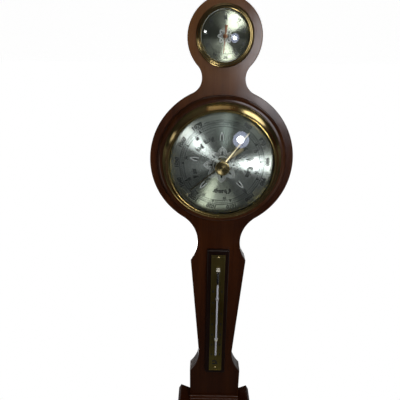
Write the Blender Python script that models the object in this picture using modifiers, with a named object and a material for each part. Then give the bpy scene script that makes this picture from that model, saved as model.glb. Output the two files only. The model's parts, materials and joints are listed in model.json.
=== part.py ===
"""Wall-hung aneroid barometer with thermometer and hygrometer.

Metres, +Z up.  The wall is the plane Y = 0 and the object stands out of it
towards -Y.  The origin is the top of the hanging slot in the back plate, the
point the wall hook carries.

Most pieces face the room, so they are drawn in a local frame that has X to
the right, Y up the wall and Z standing out of the front of the board; FACE
turns that frame upright.
"""
import bpy
import bmesh
from math import pi, sin, cos, tan, radians, sqrt, atan2

MM = 0.001
GAP = 0.3                      # clearance between neighbouring pieces, mm

# ---- driving dimensions, millimetres --------------------------------------
DIAL_BELOW_HOOK = 345.0        # hook to the middle of the main dial
HYGRO_BELOW_DIAL = 126.7       # main dial to the middle of the hygrometer

BOARD_T = 18.0
LOBE_R, LOBE_Z = 37.4, -125.5  # round foot that carries the hygrometer
DISC_R, DISC_Z = 80.0, 0.5     # round body behind the main dial
NECK_R = 17.0                  # fillets between foot and body
WAIST_W, WAIST_R = 26.0, 38.7  # half width and fillet above the body
FLARE_R = 45.0                 # fillet from the waist to the trunk's shoulder
SHOULDER_W, SHOULDER_Z = 34.4, 127.5
TRUNK_TOP_W, TRUNK_TOP_Z = 23.2, 276.0
HEAD_W, HEAD_FILLET_R = 35.9, 50.7
DRUM_HOLE_R = 52.0
HYGRO_HOLE_R = 23.3

ROOF_SLOPE = radians(26.5)
ROOF_T = 8.0
ROOF_TIP_X, ROOF_TIP_Z = 49.9, 357.6
ROOF_OVERHANG = 14.0           # in front of the board
FRIEZE_Z, FRIEZE_STEP_Z = 356.4, 360.6
FRIEZE_H1, FRIEZE_H2 = 3.3, 4.6

RING_R, RING_H = 71.7, 7.5     # turned wooden ring under the bezel
BEZEL_BASE_R, BEZEL_RIM_R, BEZEL_IN_R, BEZEL_TOP_H = 65.0, 58.0, 56.1, 19.0
GLASS_R, GLASS_RISE, GLASS_T = 57.3, 6.5, 1.6
DIAL_R, DIAL_H, DIAL_T = 56.0, 14.4, 0.8
KNOB_R, KNOB_TOP_H = 7.65, 30.2
HAND_ANGLE = 49.8              # degrees clockwise from the top, at rest
SET_ANGLE = 217.9
HAND_L, HAND_TAIL = 45.0, 28.3
SET_L, SET_TAIL = 44.5, 9.5
SET_LEAN = 0.0607               # fall of the set hand toward the dial, per mm outward

HYG_BASE_R, HYG_OUT_R, HYG_IN_R, HYG_TOP_H = 28.8, 27.6, 23.8, 4.6
HYG_POINTER_ANGLE = 4.7

BLOCK_W, BLOCK_Z0, BLOCK_Z1, BLOCK_H = 26.6, 109.7, 306.5, 6.0
PLATE_W, PLATE_Z0, PLATE_Z1, PLATE_T = 17.4, 115.4, 301.2, 0.8
TUBE_R, TUBE_TOP_Z = 1.3, 272.5
BULB_R, BULB_Z0, BULB_Z1 = 2.15, 137.6, 155.5

LEVER_PIVOT_X, LEVER_TIP_X = -27.0, 23.8
ROCKER_X, ROCKER_H, ROCKER_HALF = 27.0, 0.5, 13.0
CHAIN_H = 8.5

FACE = (pi / 2, 0.0, 0.0)      # local Z -> out of the board, local Y -> up

# ---- clean scene, collections, materials -----------------------------------
for old in list(bpy.data.objects):
    bpy.data.objects.remove(old, do_unlink=True)

parts = bpy.data.collections.new("aneroid_barometer")
cutters = bpy.data.collections.new("cutters")
bpy.context.scene.collection.children.link(parts)
bpy.context.scene.collection.children.link(cutters)


def material(name, colour, metallic=0.0, roughness=0.5, alpha=1.0, transmission=0.0):
    m = bpy.data.materials.new(name)
    m.use_nodes = True
    b = m.node_tree.nodes["Principled BSDF"]
    b.inputs["Base Color"].default_value = (*colour, 1.0)
    b.inputs["Metallic"].default_value = metallic
    b.inputs["Roughness"].default_value = roughness
    b.inputs["Alpha"].default_value = alpha
    b.inputs["Transmission Weight"].default_value = transmission
    m.diffuse_color = (*colour, 1.0)
    return m


FINISH = {
    "mahogany": ((0.075, 0.034, 0.022), 0.0, 0.38),
    "dark_mahogany": ((0.035, 0.016, 0.012), 0.0, 0.35),
    "moulding": ((0.16, 0.065, 0.03), 0.0, 0.33),
    "brass": ((0.62, 0.47, 0.16), 1.0, 0.24),
    "aged_brass": ((0.36, 0.30, 0.10), 1.0, 0.42),
    "silvered": ((0.55, 0.56, 0.48), 0.9, 0.4),
    "blued_steel": ((0.03, 0.035, 0.05), 0.8, 0.35),
    "copper": ((0.42, 0.19, 0.10), 0.9, 0.4),
    "steel": ((0.45, 0.45, 0.46), 1.0, 0.35),
    "nickel": ((0.6, 0.58, 0.52), 1.0, 0.3),
    "tin": ((0.5, 0.5, 0.48), 0.9, 0.45),
    "white_clip": ((0.8, 0.79, 0.72), 0.0, 0.5),
    "spirit": ((0.03, 0.01, 0.02), 0.0, 0.3),
}


def finish(name, kind):
    if kind == "glass":
        return material(name, (0.92, 0.95, 0.95), 0.0, 0.05, 0.3, 1.0)
    return material(name, *FINISH[kind])


# ---- helpers ---------------------------------------------------------------
def place(obj, kind, loc, rot=FACE, coll=parts, parent=None):
    """Link an object, give it its own material and put it at loc (mm)."""
    coll.objects.link(obj)
    obj.rotation_euler = rot
    obj.location = [v * MM for v in loc]
    if kind:
        obj.data.materials.append(finish(obj.name, kind))
    if parent:
        obj.parent = parent
    return obj


def front(x=0.0, z=0.0, h=0.0):
    """World place (mm) of a point x right, z above the dial's middle and h in
    front of the board."""
    return (x, -BOARD_T - h, z - DIAL_BELOW_HOOK)


def smooth(obj, angle=35):
    obj.data.shade_smooth()
    obj.data.set_sharp_from_angle(angle=radians(angle))


def turned(name, kind, profile, loc, steps=48, rot=FACE, closed=False, angle=40,
           coll=parts):
    """Turn a profile of (radius, height) pairs, in mm, about local Z."""
    me = bpy.data.meshes.new(name)
    verts = [(r * MM, 0.0, h * MM) for r, h in profile]
    edges = [(i, i + 1) for i in range(len(verts) - 1)]
    if closed:
        edges.append((len(verts) - 1, 0))
    me.from_pydata(verts, edges, [])
    obj = bpy.data.objects.new(name, me)
    place(obj, kind, loc, rot, coll)
    s = obj.modifiers.new("turn", "SCREW")
    s.axis = "Z"
    s.angle = 2 * pi
    s.steps = s.render_steps = steps
    s.use_merge_vertices = True
    s.merge_threshold = 0.00001
    s.use_smooth_shade = True
    return obj


def ring_points(r, n, cx=0.0, cy=0.0):
    return [(cx + r * cos(2 * pi * i / n), cy + r * sin(2 * pi * i / n)) for i in range(n)]


def outline_curve(name, loops, half, coll):
    """A filled flat outline, loops in mm, thickened by half each way."""
    cu = bpy.data.curves.new(name, "CURVE")
    cu.dimensions = "2D"
    cu.fill_mode = "BOTH"
    cu.extrude = half * MM
    for loop in loops:
        sp = cu.splines.new("POLY")
        sp.points.add(len(loop) - 1)
        for p, (x, y) in zip(sp.points, loop):
            p.co = (x * MM, y * MM, 0.0, 1.0)
        sp.use_cyclic_u = True
    ob = bpy.data.objects.new(name, cu)
    coll.objects.link(ob)
    return ob


def curve_to_mesh(cu_ob, name):
    """The curve's evaluated mesh with its caps welded, as a new object."""
    bpy.context.view_layer.update()
    dg = bpy.context.evaluated_depsgraph_get()
    me = bpy.data.meshes.new_from_object(cu_ob.evaluated_get(dg))
    me.name = name
    bm = bmesh.new()
    bm.from_mesh(me)
    bmesh.ops.remove_doubles(bm, verts=bm.verts, dist=0.000002)
    bmesh.ops.recalc_face_normals(bm, faces=bm.faces)
    bm.to_mesh(me)
    bm.free()
    me.materials.clear()
    ob = bpy.data.objects.new(name, me)
    ob.matrix_world = cu_ob.matrix_world
    bpy.data.objects.remove(cu_ob, do_unlink=True)
    return ob


def plate(name, kind, loops, h0, h1, loc, rot=FACE, coll=parts):
    """A flat piece between heights h0 and h1 over loc (mm)."""
    cu = outline_curve(name + "_outline", loops, abs(h1 - h0) / 2, coll)
    ob = curve_to_mesh(cu, name)
    mid = (h0 + h1) / 2
    for v in ob.data.vertices:
        v.co.z += mid * MM
    place(ob, kind, loc, rot, coll)
    return ob


def rod(name, kind, r, h0, h1, loc, n=12, rot=FACE, coll=parts):
    me = bpy.data.meshes.new(name)
    bm = bmesh.new()
    bmesh.ops.create_cone(bm, cap_ends=True, segments=n, radius1=r * MM, radius2=r * MM,
                          depth=abs(h1 - h0) * MM)
    bmesh.ops.translate(bm, vec=(0, 0, (h0 + h1) / 2 * MM), verts=bm.verts)
    bm.to_mesh(me)
    bm.free()
    ob = bpy.data.objects.new(name, me)
    place(ob, kind, loc, rot, coll)
    if coll is parts:
        smooth(ob)
    return ob


def box(name, kind, x0, x1, y0, y1, h0, h1, loc, rot=FACE, coll=parts):
    me = bpy.data.meshes.new(name)
    bm = bmesh.new()
    bmesh.ops.create_cube(bm, size=1.0)
    for v in bm.verts:
        v.co.x = (x0 if v.co.x < 0 else x1) * MM
        v.co.y = (y0 if v.co.y < 0 else y1) * MM
        v.co.z = (h0 if v.co.z < 0 else h1) * MM
    bmesh.ops.recalc_face_normals(bm, faces=bm.faces)
    bm.to_mesh(me)
    bm.free()
    ob = bpy.data.objects.new(name, me)
    place(ob, kind, loc, rot, coll)
    return ob


def as_cutter(ob):
    ob.hide_render = True
    ob.display_type = "WIRE"
    return ob


def cut(ob, *tools, op="DIFFERENCE"):
    for t in tools:
        m = ob.modifiers.new("cut", "BOOLEAN")
        m.operation = op
        m.object = as_cutter(t)
        m.solver = "EXACT"
    return ob


def hole(name, r, h0, h1, loc, n=12, rot=FACE):
    return rod("cut_" + name, None, r, h0, h1, loc, n, rot, cutters)


def spiral(name, kind, r0, r1, turns, per_turn, wire, h, loc, start=0.0, sides=1):
    """A flat spiral of round wire, points laid out turn by turn."""
    cu = bpy.data.curves.new(name, "CURVE")
    cu.dimensions = "3D"
    cu.bevel_depth = wire * MM
    cu.bevel_resolution = sides
    cu.use_fill_caps = True
    n = int(turns * per_turn) + 1
    sp = cu.splines.new("POLY")
    sp.points.add(n - 1)
    for i, p in enumerate(sp.points):
        a = start + 2 * pi * i / per_turn
        r = r0 + (r1 - r0) * i / (n - 1)
        p.co = (r * cos(a) * MM, r * sin(a) * MM, h * MM, 1.0)
    ob = bpy.data.objects.new(name, cu)
    place(ob, kind, loc)
    return ob


def wire(name, kind, pts, r, loc, sides=1):
    cu = bpy.data.curves.new(name, "CURVE")
    cu.dimensions = "3D"
    cu.bevel_depth = r * MM
    cu.bevel_resolution = sides
    cu.use_fill_caps = True
    sp = cu.splines.new("POLY")
    sp.points.add(len(pts) - 1)
    for p, q in zip(sp.points, pts):
        p.co = (q[0] * MM, q[1] * MM, q[2] * MM, 1.0)
    ob = bpy.data.objects.new(name, cu)
    place(ob, kind, loc)
    return ob


def arc(cx, cy, r, a0, a1, n):
    """Points on an arc from angle a0 to a1 (radians), both ends included."""
    return [(cx + r * cos(a0 + (a1 - a0) * i / n), cy + r * sin(a0 + (a1 - a0) * i / n))
            for i in range(n + 1)]


# ---- outline of the board ----------------------------------------------------
def board_outline():
    """Right half from the foot to the ridge, built of arcs that meet tangentially."""
    # fillet between the foot's circle and the body's circle
    nz = ((DISC_R + NECK_R) ** 2 - (LOBE_R + NECK_R) ** 2 - DISC_Z ** 2 + LOBE_Z ** 2) \
        / (2 * (LOBE_Z - DISC_Z))
    nx = sqrt((LOBE_R + NECK_R) ** 2 - (nz - LOBE_Z) ** 2)
    a_lobe = atan2(nz - LOBE_Z, nx)
    a_disc = atan2(nz - DISC_Z, nx)
    pts = arc(0, LOBE_Z, LOBE_R, -pi / 2, a_lobe, 18)
    pts += arc(nx, nz, NECK_R, pi + a_lobe, pi + a_disc, 7)[1:]
    # fillet between the body's circle and the waist
    wx = WAIST_W + WAIST_R
    wz = DISC_Z + sqrt((DISC_R + WAIST_R) ** 2 - wx ** 2)
    a_waist = atan2(wz - DISC_Z, wx)
    pts += arc(0, DISC_Z, DISC_R, a_disc, a_waist, 22)[1:]
    pts += arc(wx, wz, WAIST_R, a_waist + pi, pi, 8)[1:]
    # flare up to the trunk's shoulder
    fx = WAIST_W + FLARE_R
    dz = sqrt(FLARE_R ** 2 - (fx - SHOULDER_W + 0.7) ** 2)
    a_end = pi - atan2(dz, fx - SHOULDER_W + 0.7)
    pts += arc(fx, wz, FLARE_R, pi, a_end, 7)[1:]
    pts += [(SHOULDER_W, wz + dz + 1.6), (SHOULDER_W - 0.05, wz + dz + 3.6)]
    # straight taper, then the fillet out to the head
    pts.append((TRUNK_TOP_W, TRUNK_TOP_Z))
    hx = TRUNK_TOP_W + HEAD_FILLET_R
    hz = sqrt(HEAD_FILLET_R ** 2 - (hx - HEAD_W) ** 2)
    pts += arc(hx, TRUNK_TOP_Z, HEAD_FILLET_R, pi, pi - atan2(hz, hx - HEAD_W), 9)[1:]
    # up to the roof's underside, which it follows to the middle
    pts.append((HEAD_W, roof_under(HEAD_W) - GAP / cos(ROOF_SLOPE)))
    pts.append((0.0, roof_under(0.0) - GAP / cos(ROOF_SLOPE)))
    left = [(-x, y) for x, y in reversed(pts[1:-1])]
    return pts + left


def roof_under(x):
    return ROOF_TIP_Z + (ROOF_TIP_X - abs(x)) * tan(ROOF_SLOPE)


# ---- case ---------------------------------------------------------------------
board = plate("case_board", "mahogany",
              [board_outline(), ring_points(DRUM_HOLE_R, 44),
               ring_points(HYGRO_HOLE_R, 32, 0.0, -HYGRO_BELOW_DIAL)],
              -BOARD_T, 0.0, front())

SCREW_R = 56.3
screw_at = [(SCREW_R * cos(radians(a)), SCREW_R * sin(radians(a))) for a in (90, 210, 330)]
PIN_Z = (118.0, 294.9)

ring_profile = [(RING_R - (RING_R - 66.0) * (1 - cos(t)), 0.3 + (RING_H - 0.3) * sin(t))
                for t in [pi / 2 * i / 6 for i in range(7)]]
ring_profile = list(reversed(ring_profile))          # top to bottom on the outside
ring_profile += [(DRUM_HOLE_R, 0.3), (DRUM_HOLE_R, RING_H)]
dial_moulding = turned("dial_moulding", "moulding", ring_profile, front(), steps=48, closed=True)

thermometer_block = box("thermometer_block", "dark_mahogany", -BLOCK_W / 2, BLOCK_W / 2,
                        BLOCK_Z0, BLOCK_Z1, GAP, BLOCK_H, front())

roof_len = (ROOF_TIP_X - GAP / 2) / cos(ROOF_SLOPE)
tipx, tipz = ROOF_TIP_X, ROOF_TIP_Z
topx = ROOF_TIP_X + ROOF_T * sin(ROOF_SLOPE)
topz = ROOF_TIP_Z + ROOF_T * cos(ROOF_SLOPE)
roof_right = [(GAP / 2, roof_under(GAP / 2)), (tipx, tipz), (topx, topz),
              (GAP / 2, topz + (topx - GAP / 2) * tan(ROOF_SLOPE))]
plate("roof_board_right", "mahogany", [roof_right], -BOARD_T, ROOF_OVERHANG, front())
plate("roof_board_left", "mahogany", [[(-x, y) for x, y in reversed(roof_right)]],
      -BOARD_T, ROOF_OVERHANG, front())

# stepped frieze across the head, under the roof: its section is turned round to
# run along X and its top follows the roof
g2 = 2 * GAP / cos(ROOF_SLOPE)
frieze = plate("frieze", "mahogany",
               [[(-HEAD_W, FRIEZE_Z), (HEAD_W, FRIEZE_Z), (HEAD_W, roof_under(HEAD_W) - g2),
                 (0.0, roof_under(0) - g2), (-HEAD_W, roof_under(HEAD_W) - g2)]],
               GAP, FRIEZE_H2, front())
cut(frieze, box("cut_frieze_step", None, -HEAD_W - 1, HEAD_W + 1, FRIEZE_Z - 1, FRIEZE_STEP_Z,
                FRIEZE_H1, FRIEZE_H2 + 1, front(), coll=cutters))

# ---- hanger: a slotted plate let into the back of the head -----------------------
HOOK_Z = DIAL_BELOW_HOOK                      # in dial heights
SLOT_R, KEY_R, KEY_DROP = 2.3, 4.4, 10.0
recess = box("cut_recess", None, -23.5, 23.5, HOOK_Z - 18, HOOK_Z + 7, -BOARD_T - 1, -BOARD_T + 3.5,
             front(), coll=cutters)
pocket = box("cut_pocket", None, -6.0, 6.0, HOOK_Z - 16, HOOK_Z + 3.5, -BOARD_T + 2.0, -BOARD_T + 10.5,
             front(), coll=cutters)


def keyhole():
    """Slot of half width SLOT_R over a round entry of radius KEY_R."""
    top = HOOK_Z - SLOT_R
    a = pi / 2 - atan2(SLOT_R, sqrt(KEY_R ** 2 - SLOT_R ** 2))
    pts = arc(0, top, SLOT_R, 0, pi, 8)
    lo = HOOK_Z - KEY_DROP
    pts += arc(0, lo, KEY_R, pi - a, 2 * pi + a, 16)
    return pts


hanger_screw_x = 17.5
hanger_plate = plate("hanger_plate", "aged_brass",
                     [[(-23, HOOK_Z - 17.5), (23, HOOK_Z - 17.5), (23, HOOK_Z + 6.5), (-23, HOOK_Z + 6.5)],
                      keyhole(),
                      ring_points(1.9, 12, -hanger_screw_x, HOOK_Z - 5.5),
                      ring_points(1.9, 12, hanger_screw_x, HOOK_Z - 5.5)],
                     -BOARD_T + 1.7, -BOARD_T + 3.2, front())
board_cuts = [recess, pocket]
for side, sx in (("left", -1), ("right", 1)):
    # flat head towards the wall, shank running through the plate into the board
    turned("hanger_screw_" + side, "aged_brass",
           [(0, 11.0), (0.3, 10.4), (1.2, 9.0), (1.2, 1.4), (3.2, 1.3), (2.6, 0.3), (0, 0.2)],
           front(sx * hanger_screw_x, HOOK_Z - 5.5, -BOARD_T), steps=12)
    board_cuts.append(hole("hanger_screw_" + side, 1.6, 3.0, 11.6,
                           front(sx * hanger_screw_x, HOOK_Z - 5.5, -BOARD_T)))

# ---- drum that holds the movement, let in from the front ---------------------------
FLOOR_H = -17.0
drum = turned("drum_case", "tin",
              [(0, -16.2), (50.7, -16.2), (50.7, 8.6), (60.5, 8.6), (60.5, 7.8), (51.5, 7.8), (51.5, -16.4),
               (50.9, -17.0), (0, -17.0)],
              front(), steps=40)
for i, (sx, sz) in enumerate(screw_at):
    turned(f"drum_screw_{i + 1}", "nickel",
           [(0, 10.4), (1.4, 10.3), (2.4, 9.6), (2.4, 8.9), (1.2, 8.9), (1.2, -4.0), (0.2, -6.0), (0, -6.0)],
           front(sx, sz), steps=12)
    for owner, r, h0, h1 in ((drum, 1.6, 7.0, 9.5), (dial_moulding, 1.6, -1.0, 9.0), (board, 1.6, -6.6, 1.0)):
        c = hole(f"drum_screw_{i + 1}_{owner.name}", r, h0, h1, front(sx, sz))
        if owner is board:
            board_cuts.append(c)
        else:
            cut(owner, c)
ADJ_X, ADJ_Z = LEVER_PIVOT_X - 4.0, 0.0
cut(drum, hole("drum_adjuster", 3.0, -18.5, -15.0, front(ADJ_X, ADJ_Z)))

# ---- movement -------------------------------------------------------------------------
base_plate = plate("base_plate", "aged_brass",
                   [ring_points(47.0, 48), ring_points(3.0, 12, ADJ_X, ADJ_Z)], -15.9, -14.4, front())
for i, a in enumerate((30, 150, 270)):
    rod(f"dial_pillar_{i + 1}", "aged_brass", 2.0, -14.1, 13.3,
        front(42 * cos(radians(a)), 42 * sin(radians(a))), n=10)


def capsule_profile():
    """Sealed corrugated capsule, modelled solid: wavy faces joined by a rim."""
    top, bottom, rmax, n = -6.6, -14.1, 20.0, 9
    pts = [(0.0, top)]
    pts += [(rmax * i / n, top - 0.45 + 0.45 * cos(2 * pi * 3 * i / n)) for i in range(1, n + 1)]
    pts += [(21.0, (top + bottom) / 2 + 0.6), (21.0, (top + bottom) / 2 - 0.6)]
    pts += [(rmax * i / n, bottom + 0.45 - 0.45 * cos(2 * pi * 3 * i / n)) for i in range(n, 0, -1)]
    pts.append((0.0, bottom))
    return pts


turned("aneroid_capsule", "nickel", capsule_profile(), front(), steps=24)
rod("capsule_stud", "aged_brass", 2.4, -6.3, -4.3, front(0, 0), n=12)

spring_post = box("spring_post", "steel", -4.5, 4.5, -9.0, 9.0, -14.1, -4.3, front(LEVER_PIVOT_X - 4.0, 0))
cut(spring_post, hole("post_adjuster", 2.4, -15.0, -7.6, front(ADJ_X, ADJ_Z)))
turned("adjusting_screw", "steel",
       [(0, -8.2), (2.0, -8.2), (2.0, -14.0), (2.6, -14.2), (2.6, -16.9), (0.8, -16.9), (0.8, -16.2), (0, -16.2)],
       front(ADJ_X, ADJ_Z), steps=16)


def leaf():
    """Flat spring: broad over its post, necked past the pivot, broad again over the capsule."""
    return [(-8.0, -7.0), (3.0, -7.0), (9.0, -5.0), (24.0, -5.0), (32.0, -4.0), (32.0, 4.0),
            (24.0, 5.0), (9.0, 5.0), (3.0, 7.0), (-8.0, 7.0)]


plate("main_spring", "steel", [leaf()], -4.0, -3.1, front(LEVER_PIVOT_X, 0))
arm_l = LEVER_TIP_X - LEVER_PIVOT_X
plate("main_lever", "aged_brass",
      [[(20.0, -3.2), (30.0, -3.2), (arm_l + 1.4, -1.0), (arm_l + 1.4, 1.0), (30.0, 3.2), (20.0, 3.2)]],
      -2.8, -1.9, front(LEVER_PIVOT_X, 0))
rod("lever_pin", "steel", 0.5, -1.6, -0.25, front(LEVER_TIP_X, 0), n=8)

for side, s in (("upper", 1), ("lower", -1)):
    rod(f"bridge_pillar_{side}", "aged_brass", 2.5, -14.1, 0.7, front(0, s * 27.0), n=12)
plate("lower_bridge", "aged_brass",
      [[(-4, -31), (4, -31), (4, 31), (-4, 31)], ring_points(0.9, 10)], 1.0, 2.2, front())
# U-shaped upper bridge, drawn in the plane that stands along the wall's vertical
ub = plate("upper_bridge", "aged_brass",
           [[(-18, 2.5), (-15.5, 2.5), (-15.5, 10.4), (15.5, 10.4), (15.5, 2.5), (18, 2.5), (18, 11.6), (-18, 11.6)]],
           -3.0, 3.0, front(), rot=(pi / 2, 0, pi / 2))
# its drawing plane is (up, out): turn so that local X runs up the wall and local Y out of it
ub.rotation_euler = (0.0, 0.0, 0.0)
for v in ub.data.vertices:
    x, y, z = v.co
    v.co = (z, -y, x)
ub.data.flip_normals()
bmh = bmesh.new()
bmh.from_mesh(ub.data)
bmesh.ops.recalc_face_normals(bmh, faces=bmh.faces)
bmh.to_mesh(ub.data)
bmh.free()
cut(ub, hole("upper_bridge", 1.2, 9.0, 13.0, front()))

# central arbor with the little chain drum turned on it
turned("hand_arbor", "steel",
       [(0, 16.6), (0.75, 16.6), (0.75, 9.6), (1.9, 9.4), (1.9, 9.1), (0.65, 8.8), (0.65, 8.2), (1.9, 7.9),
        (1.9, 7.6), (1.0, 7.4), (1.0, 3.4), (1.5, 3.2), (1.5, 2.6), (0.5, 2.5), (0.5, 0.6), (0, 0.6)],
       front(), steps=16)
spiral("hairspring", "blued_steel", 1.6, 7.2, 4.5, 14, 0.14, 5.2, front(), sides=0)

# rocking arbor: a shaft along Z with a short arm over the lever's pin and a
# long arm that pulls the chain
rk = rod("rocking_arbor", "steel", 0.8, -ROCKER_HALF, ROCKER_HALF, front(ROCKER_X, 0, ROCKER_H), n=12,
         rot=(0, 0, 0))
short_arm = box("cut_short_arm", None, LEVER_TIP_X - ROCKER_X - 0.8, 0.3, -0.4, 0.4, -1.3, 1.3,
                front(ROCKER_X, 0, ROCKER_H), rot=(0, 0, 0), coll=cutters)
long_arm = box("cut_long_arm", None, -0.45, 0.45, -(CHAIN_H - ROCKER_H) - 0.6, 0.3, -1.2, 1.2,
               front(ROCKER_X, 0, ROCKER_H), rot=(0, 0, 0), coll=cutters)
cut(rk, short_arm, long_arm, op="UNION")
for side, s in (("upper", 1), ("lower", -1)):
    box(f"rocking_post_{side}", "aged_brass", -2.2, 2.2, s * 13.3 if s > 0 else -16.3,
        16.3 if s > 0 else -13.3, -14.1, 2.4, front(ROCKER_X, 0))
wire("chain", "steel", [(ROCKER_X - 0.9, 0, CHAIN_H), (ROCKER_X / 2, 0, CHAIN_H), (1.1, 0, CHAIN_H)], 0.22,
     front(0, 0, 0), sides=1)

# ---- dial, hands, glass, bezel -----------------------------------------------------------
plate("main_dial", "silvered", [ring_points(DIAL_R, 48), ring_points(2.2, 12)],
      DIAL_H - DIAL_T, DIAL_H, front())


def hand_outline(length, tail, w_root, w_tip, w_tail, hub, hub_n=20):
    """Tapered hand pointing up, with a widening tail and a round middle."""
    a = atan2(w_root / 2, hub)
    b = atan2(w_root / 2, hub)
    pts = [(w_tip / 2, length - 1.0), (0, length), (-w_tip / 2, length - 1.0)]
    pts += arc(0, 0, hub, pi / 2 + a, 3 * pi / 2 - b, hub_n // 2)
    pts += [(-w_tail / 2, -tail), (w_tail / 2, -tail)]
    pts += arc(0, 0, hub, -pi / 2 + b, pi / 2 - a, hub_n // 2)
    return pts


def turn_in_plane(ob, degrees_clockwise):
    """Turn a face-on piece about its own joint axis."""
    ob.rotation_euler = (pi / 2, radians(degrees_clockwise), 0.0)
    ob.rotation_mode = "XYZ"
    return ob


hand = plate("indicator_hand", "blued_steel",
             [hand_outline(HAND_L, HAND_TAIL, 1.5, 0.9, 4.6, 3.2), ring_points(1.05, 12)], 15.5, 15.9, front())
turn_in_plane(hand, HAND_ANGLE)
sh = plate("set_hand", "brass", [hand_outline(SET_L, SET_TAIL, 1.8, 0.7, 2.6, 2.8)], 20.35, 20.85, front())
for v in sh.data.vertices:             # it leans outward along the domed glass
    v.co.z -= SET_LEAN * v.co.y
turn_in_plane(sh, SET_ANGLE)
rod("knob_shaft", "brass", 1.2, 21.25, 25.3, front(), n=14)
turned("set_knob", "brass",
       [(0, 30.0), (KNOB_R - 1.6, KNOB_TOP_H), (KNOB_R - 0.5, KNOB_TOP_H - 0.3), (KNOB_R, KNOB_TOP_H - 0.9),
        (KNOB_R, 27.2), (KNOB_R - 0.7, 26.6), (5.0, 26.4), (4.4, 25.6), (0, 25.6)],
       front(), steps=32)


def dome(r_edge, rise, h_edge, r_stop, n):
    """Points on a shallow spherical cap from r_stop out to r_edge."""
    R = (r_edge ** 2 + rise ** 2) / (2 * rise)
    out = []
    for i in range(n + 1):
        r = r_stop + (r_edge - r_stop) * i / n
        out.append((r, h_edge + sqrt(R * R - r * r) - (R - rise)))
    return out


outer = dome(GLASS_R, GLASS_RISE, 17.6, 3.4, 5)
inner = dome(GLASS_R, GLASS_RISE, 17.6 - GLASS_T, 3.4, 5)
turned("main_glass", "glass", outer + list(reversed(inner)), front(), steps=40, closed=True)
turned("glass_bush", "brass",
       [(1.55, 25.2), (3.8, 25.2), (4.6, 24.5), (3.1, 24.5), (3.1, 21.6), (1.55, 21.6)],
       front(), steps=20, closed=True)
turned("main_bezel", "brass",
       [(BEZEL_IN_R + 0.3, BEZEL_TOP_H - 0.3), (BEZEL_IN_R + 1.0, BEZEL_TOP_H), (BEZEL_RIM_R, BEZEL_TOP_H - 0.1),
        (BEZEL_RIM_R + 0.4, BEZEL_TOP_H - 0.9), (BEZEL_BASE_R - 1.6, 9.6), (BEZEL_BASE_R - 0.3, 9.0),
        (BEZEL_BASE_R, 8.4), (BEZEL_BASE_R - 0.2, 7.8), (62.4, 7.8), (62.4, 8.9), (57.9, 17.2),
        (57.6, 17.9), (BEZEL_IN_R, 17.9)],
       front(), steps=48, closed=True)

# ---- hygrometer -------------------------------------------------------------------------------
HZ = -HYGRO_BELOW_DIAL
hygro_can = turned("hygro_can", "tin",
       [(0.9, -11.2), (21.9, -11.2), (21.9, 0.9), (25.4, 0.9), (25.4, 0.3), (22.6, 0.3), (22.6, -11.4), (22.0, -12.0),
        (0.9, -12.0)],
       front(0, HZ), steps=32, closed=True)
for i in range(4):                     # vents that let the room's air reach the coil
    a = pi / 4 + i * pi / 2
    cut(hygro_can, hole(f"vent_{i + 1}", 2.2, -13.0, -10.0, front(9 * cos(a), HZ + 9 * sin(a)), n=10))
plate("hygro_dial", "silvered", [ring_points(23.4, 36), ring_points(1.0, 12)], 1.2, 1.8, front(0, HZ))
turned("hygro_arbor", "steel", [(0, 2.7), (0.6, 2.7), (0.6, -11.8), (0, -11.8)], front(0, HZ), steps=12)
hp = plate("hygro_pointer", "copper",
           [hand_outline(16.0, 9.7, 1.1, 0.6, 3.0, 2.0, 12), ring_points(0.95, 10)], 2.2, 2.5, front(0, HZ))
turn_in_plane(hp, HYG_POINTER_ANGLE)
turned("hygro_hub", "copper", [(0, 3.9), (1.0, 3.7), (1.7, 3.2), (1.7, 3.0), (0, 3.0)], front(0, HZ), steps=16)
spiral("hygro_coil", "copper", 1.3, 13.0, 5.0, 14, 0.35, -5.0, front(0, HZ), sides=0)
rod("coil_post", "aged_brass", 1.0, -10.9, -3.0, front(14.7, HZ), n=10)
h_out = dome(24.7, 3.0, 3.8, 0.0, 4)
h_in = dome(24.7, 3.0, 2.7, 0.0, 4)
turned("hygro_glass", "glass", h_out + list(reversed(h_in)), front(0, HZ), steps=32)
turned("hygro_bezel", "brass",
       [(HYG_IN_R, 4.1), (24.4, HYG_TOP_H), (25.6, HYG_TOP_H), (HYG_OUT_R - 0.8, 3.8), (HYG_OUT_R, 2.6), (28.4, 1.4),
        (HYG_BASE_R, 0.9), (HYG_BASE_R, 0.3), (25.9, 0.3), (25.9, 2.2), (25.1, 2.6), (25.1, 4.1)],
       front(0, HZ), steps=36, closed=True)

# ---- thermometer ----------------------------------------------------------------------------------
PLATE_H0 = BLOCK_H + GAP
PLATE_H1 = PLATE_H0 + PLATE_T
tp = plate("thermometer_plate", "aged_brass",
           [[(-PLATE_W / 2, PLATE_Z0), (PLATE_W / 2, PLATE_Z0), (PLATE_W / 2, PLATE_Z1), (-PLATE_W / 2, PLATE_Z1)],
            ring_points(0.95, 10, 0, PIN_Z[0]), ring_points(0.95, 10, 0, PIN_Z[1])],
           PLATE_H0, PLATE_H1, front())
for side, pz in (("lower", PIN_Z[0]), ("upper", PIN_Z[1])):
    hh = PLATE_H1 + 0.3
    turned(f"plate_pin_{side}", "brass",
           [(0, hh + 0.9), (0.8, hh + 0.75), (1.3, hh + 0.3), (1.4, hh), (0.6, hh), (0.6, -4.0), (0.1, -5.0), (0, -5.0)],
           front(0, pz), steps=12)
    cut(thermometer_block, hole(f"pin_block_{side}", 0.95, -1.0, 7.5, front(0, pz), n=10))
    board_cuts.append(hole(f"pin_board_{side}", 0.95, -5.6, 1.0, front(0, pz), n=10))

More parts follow.
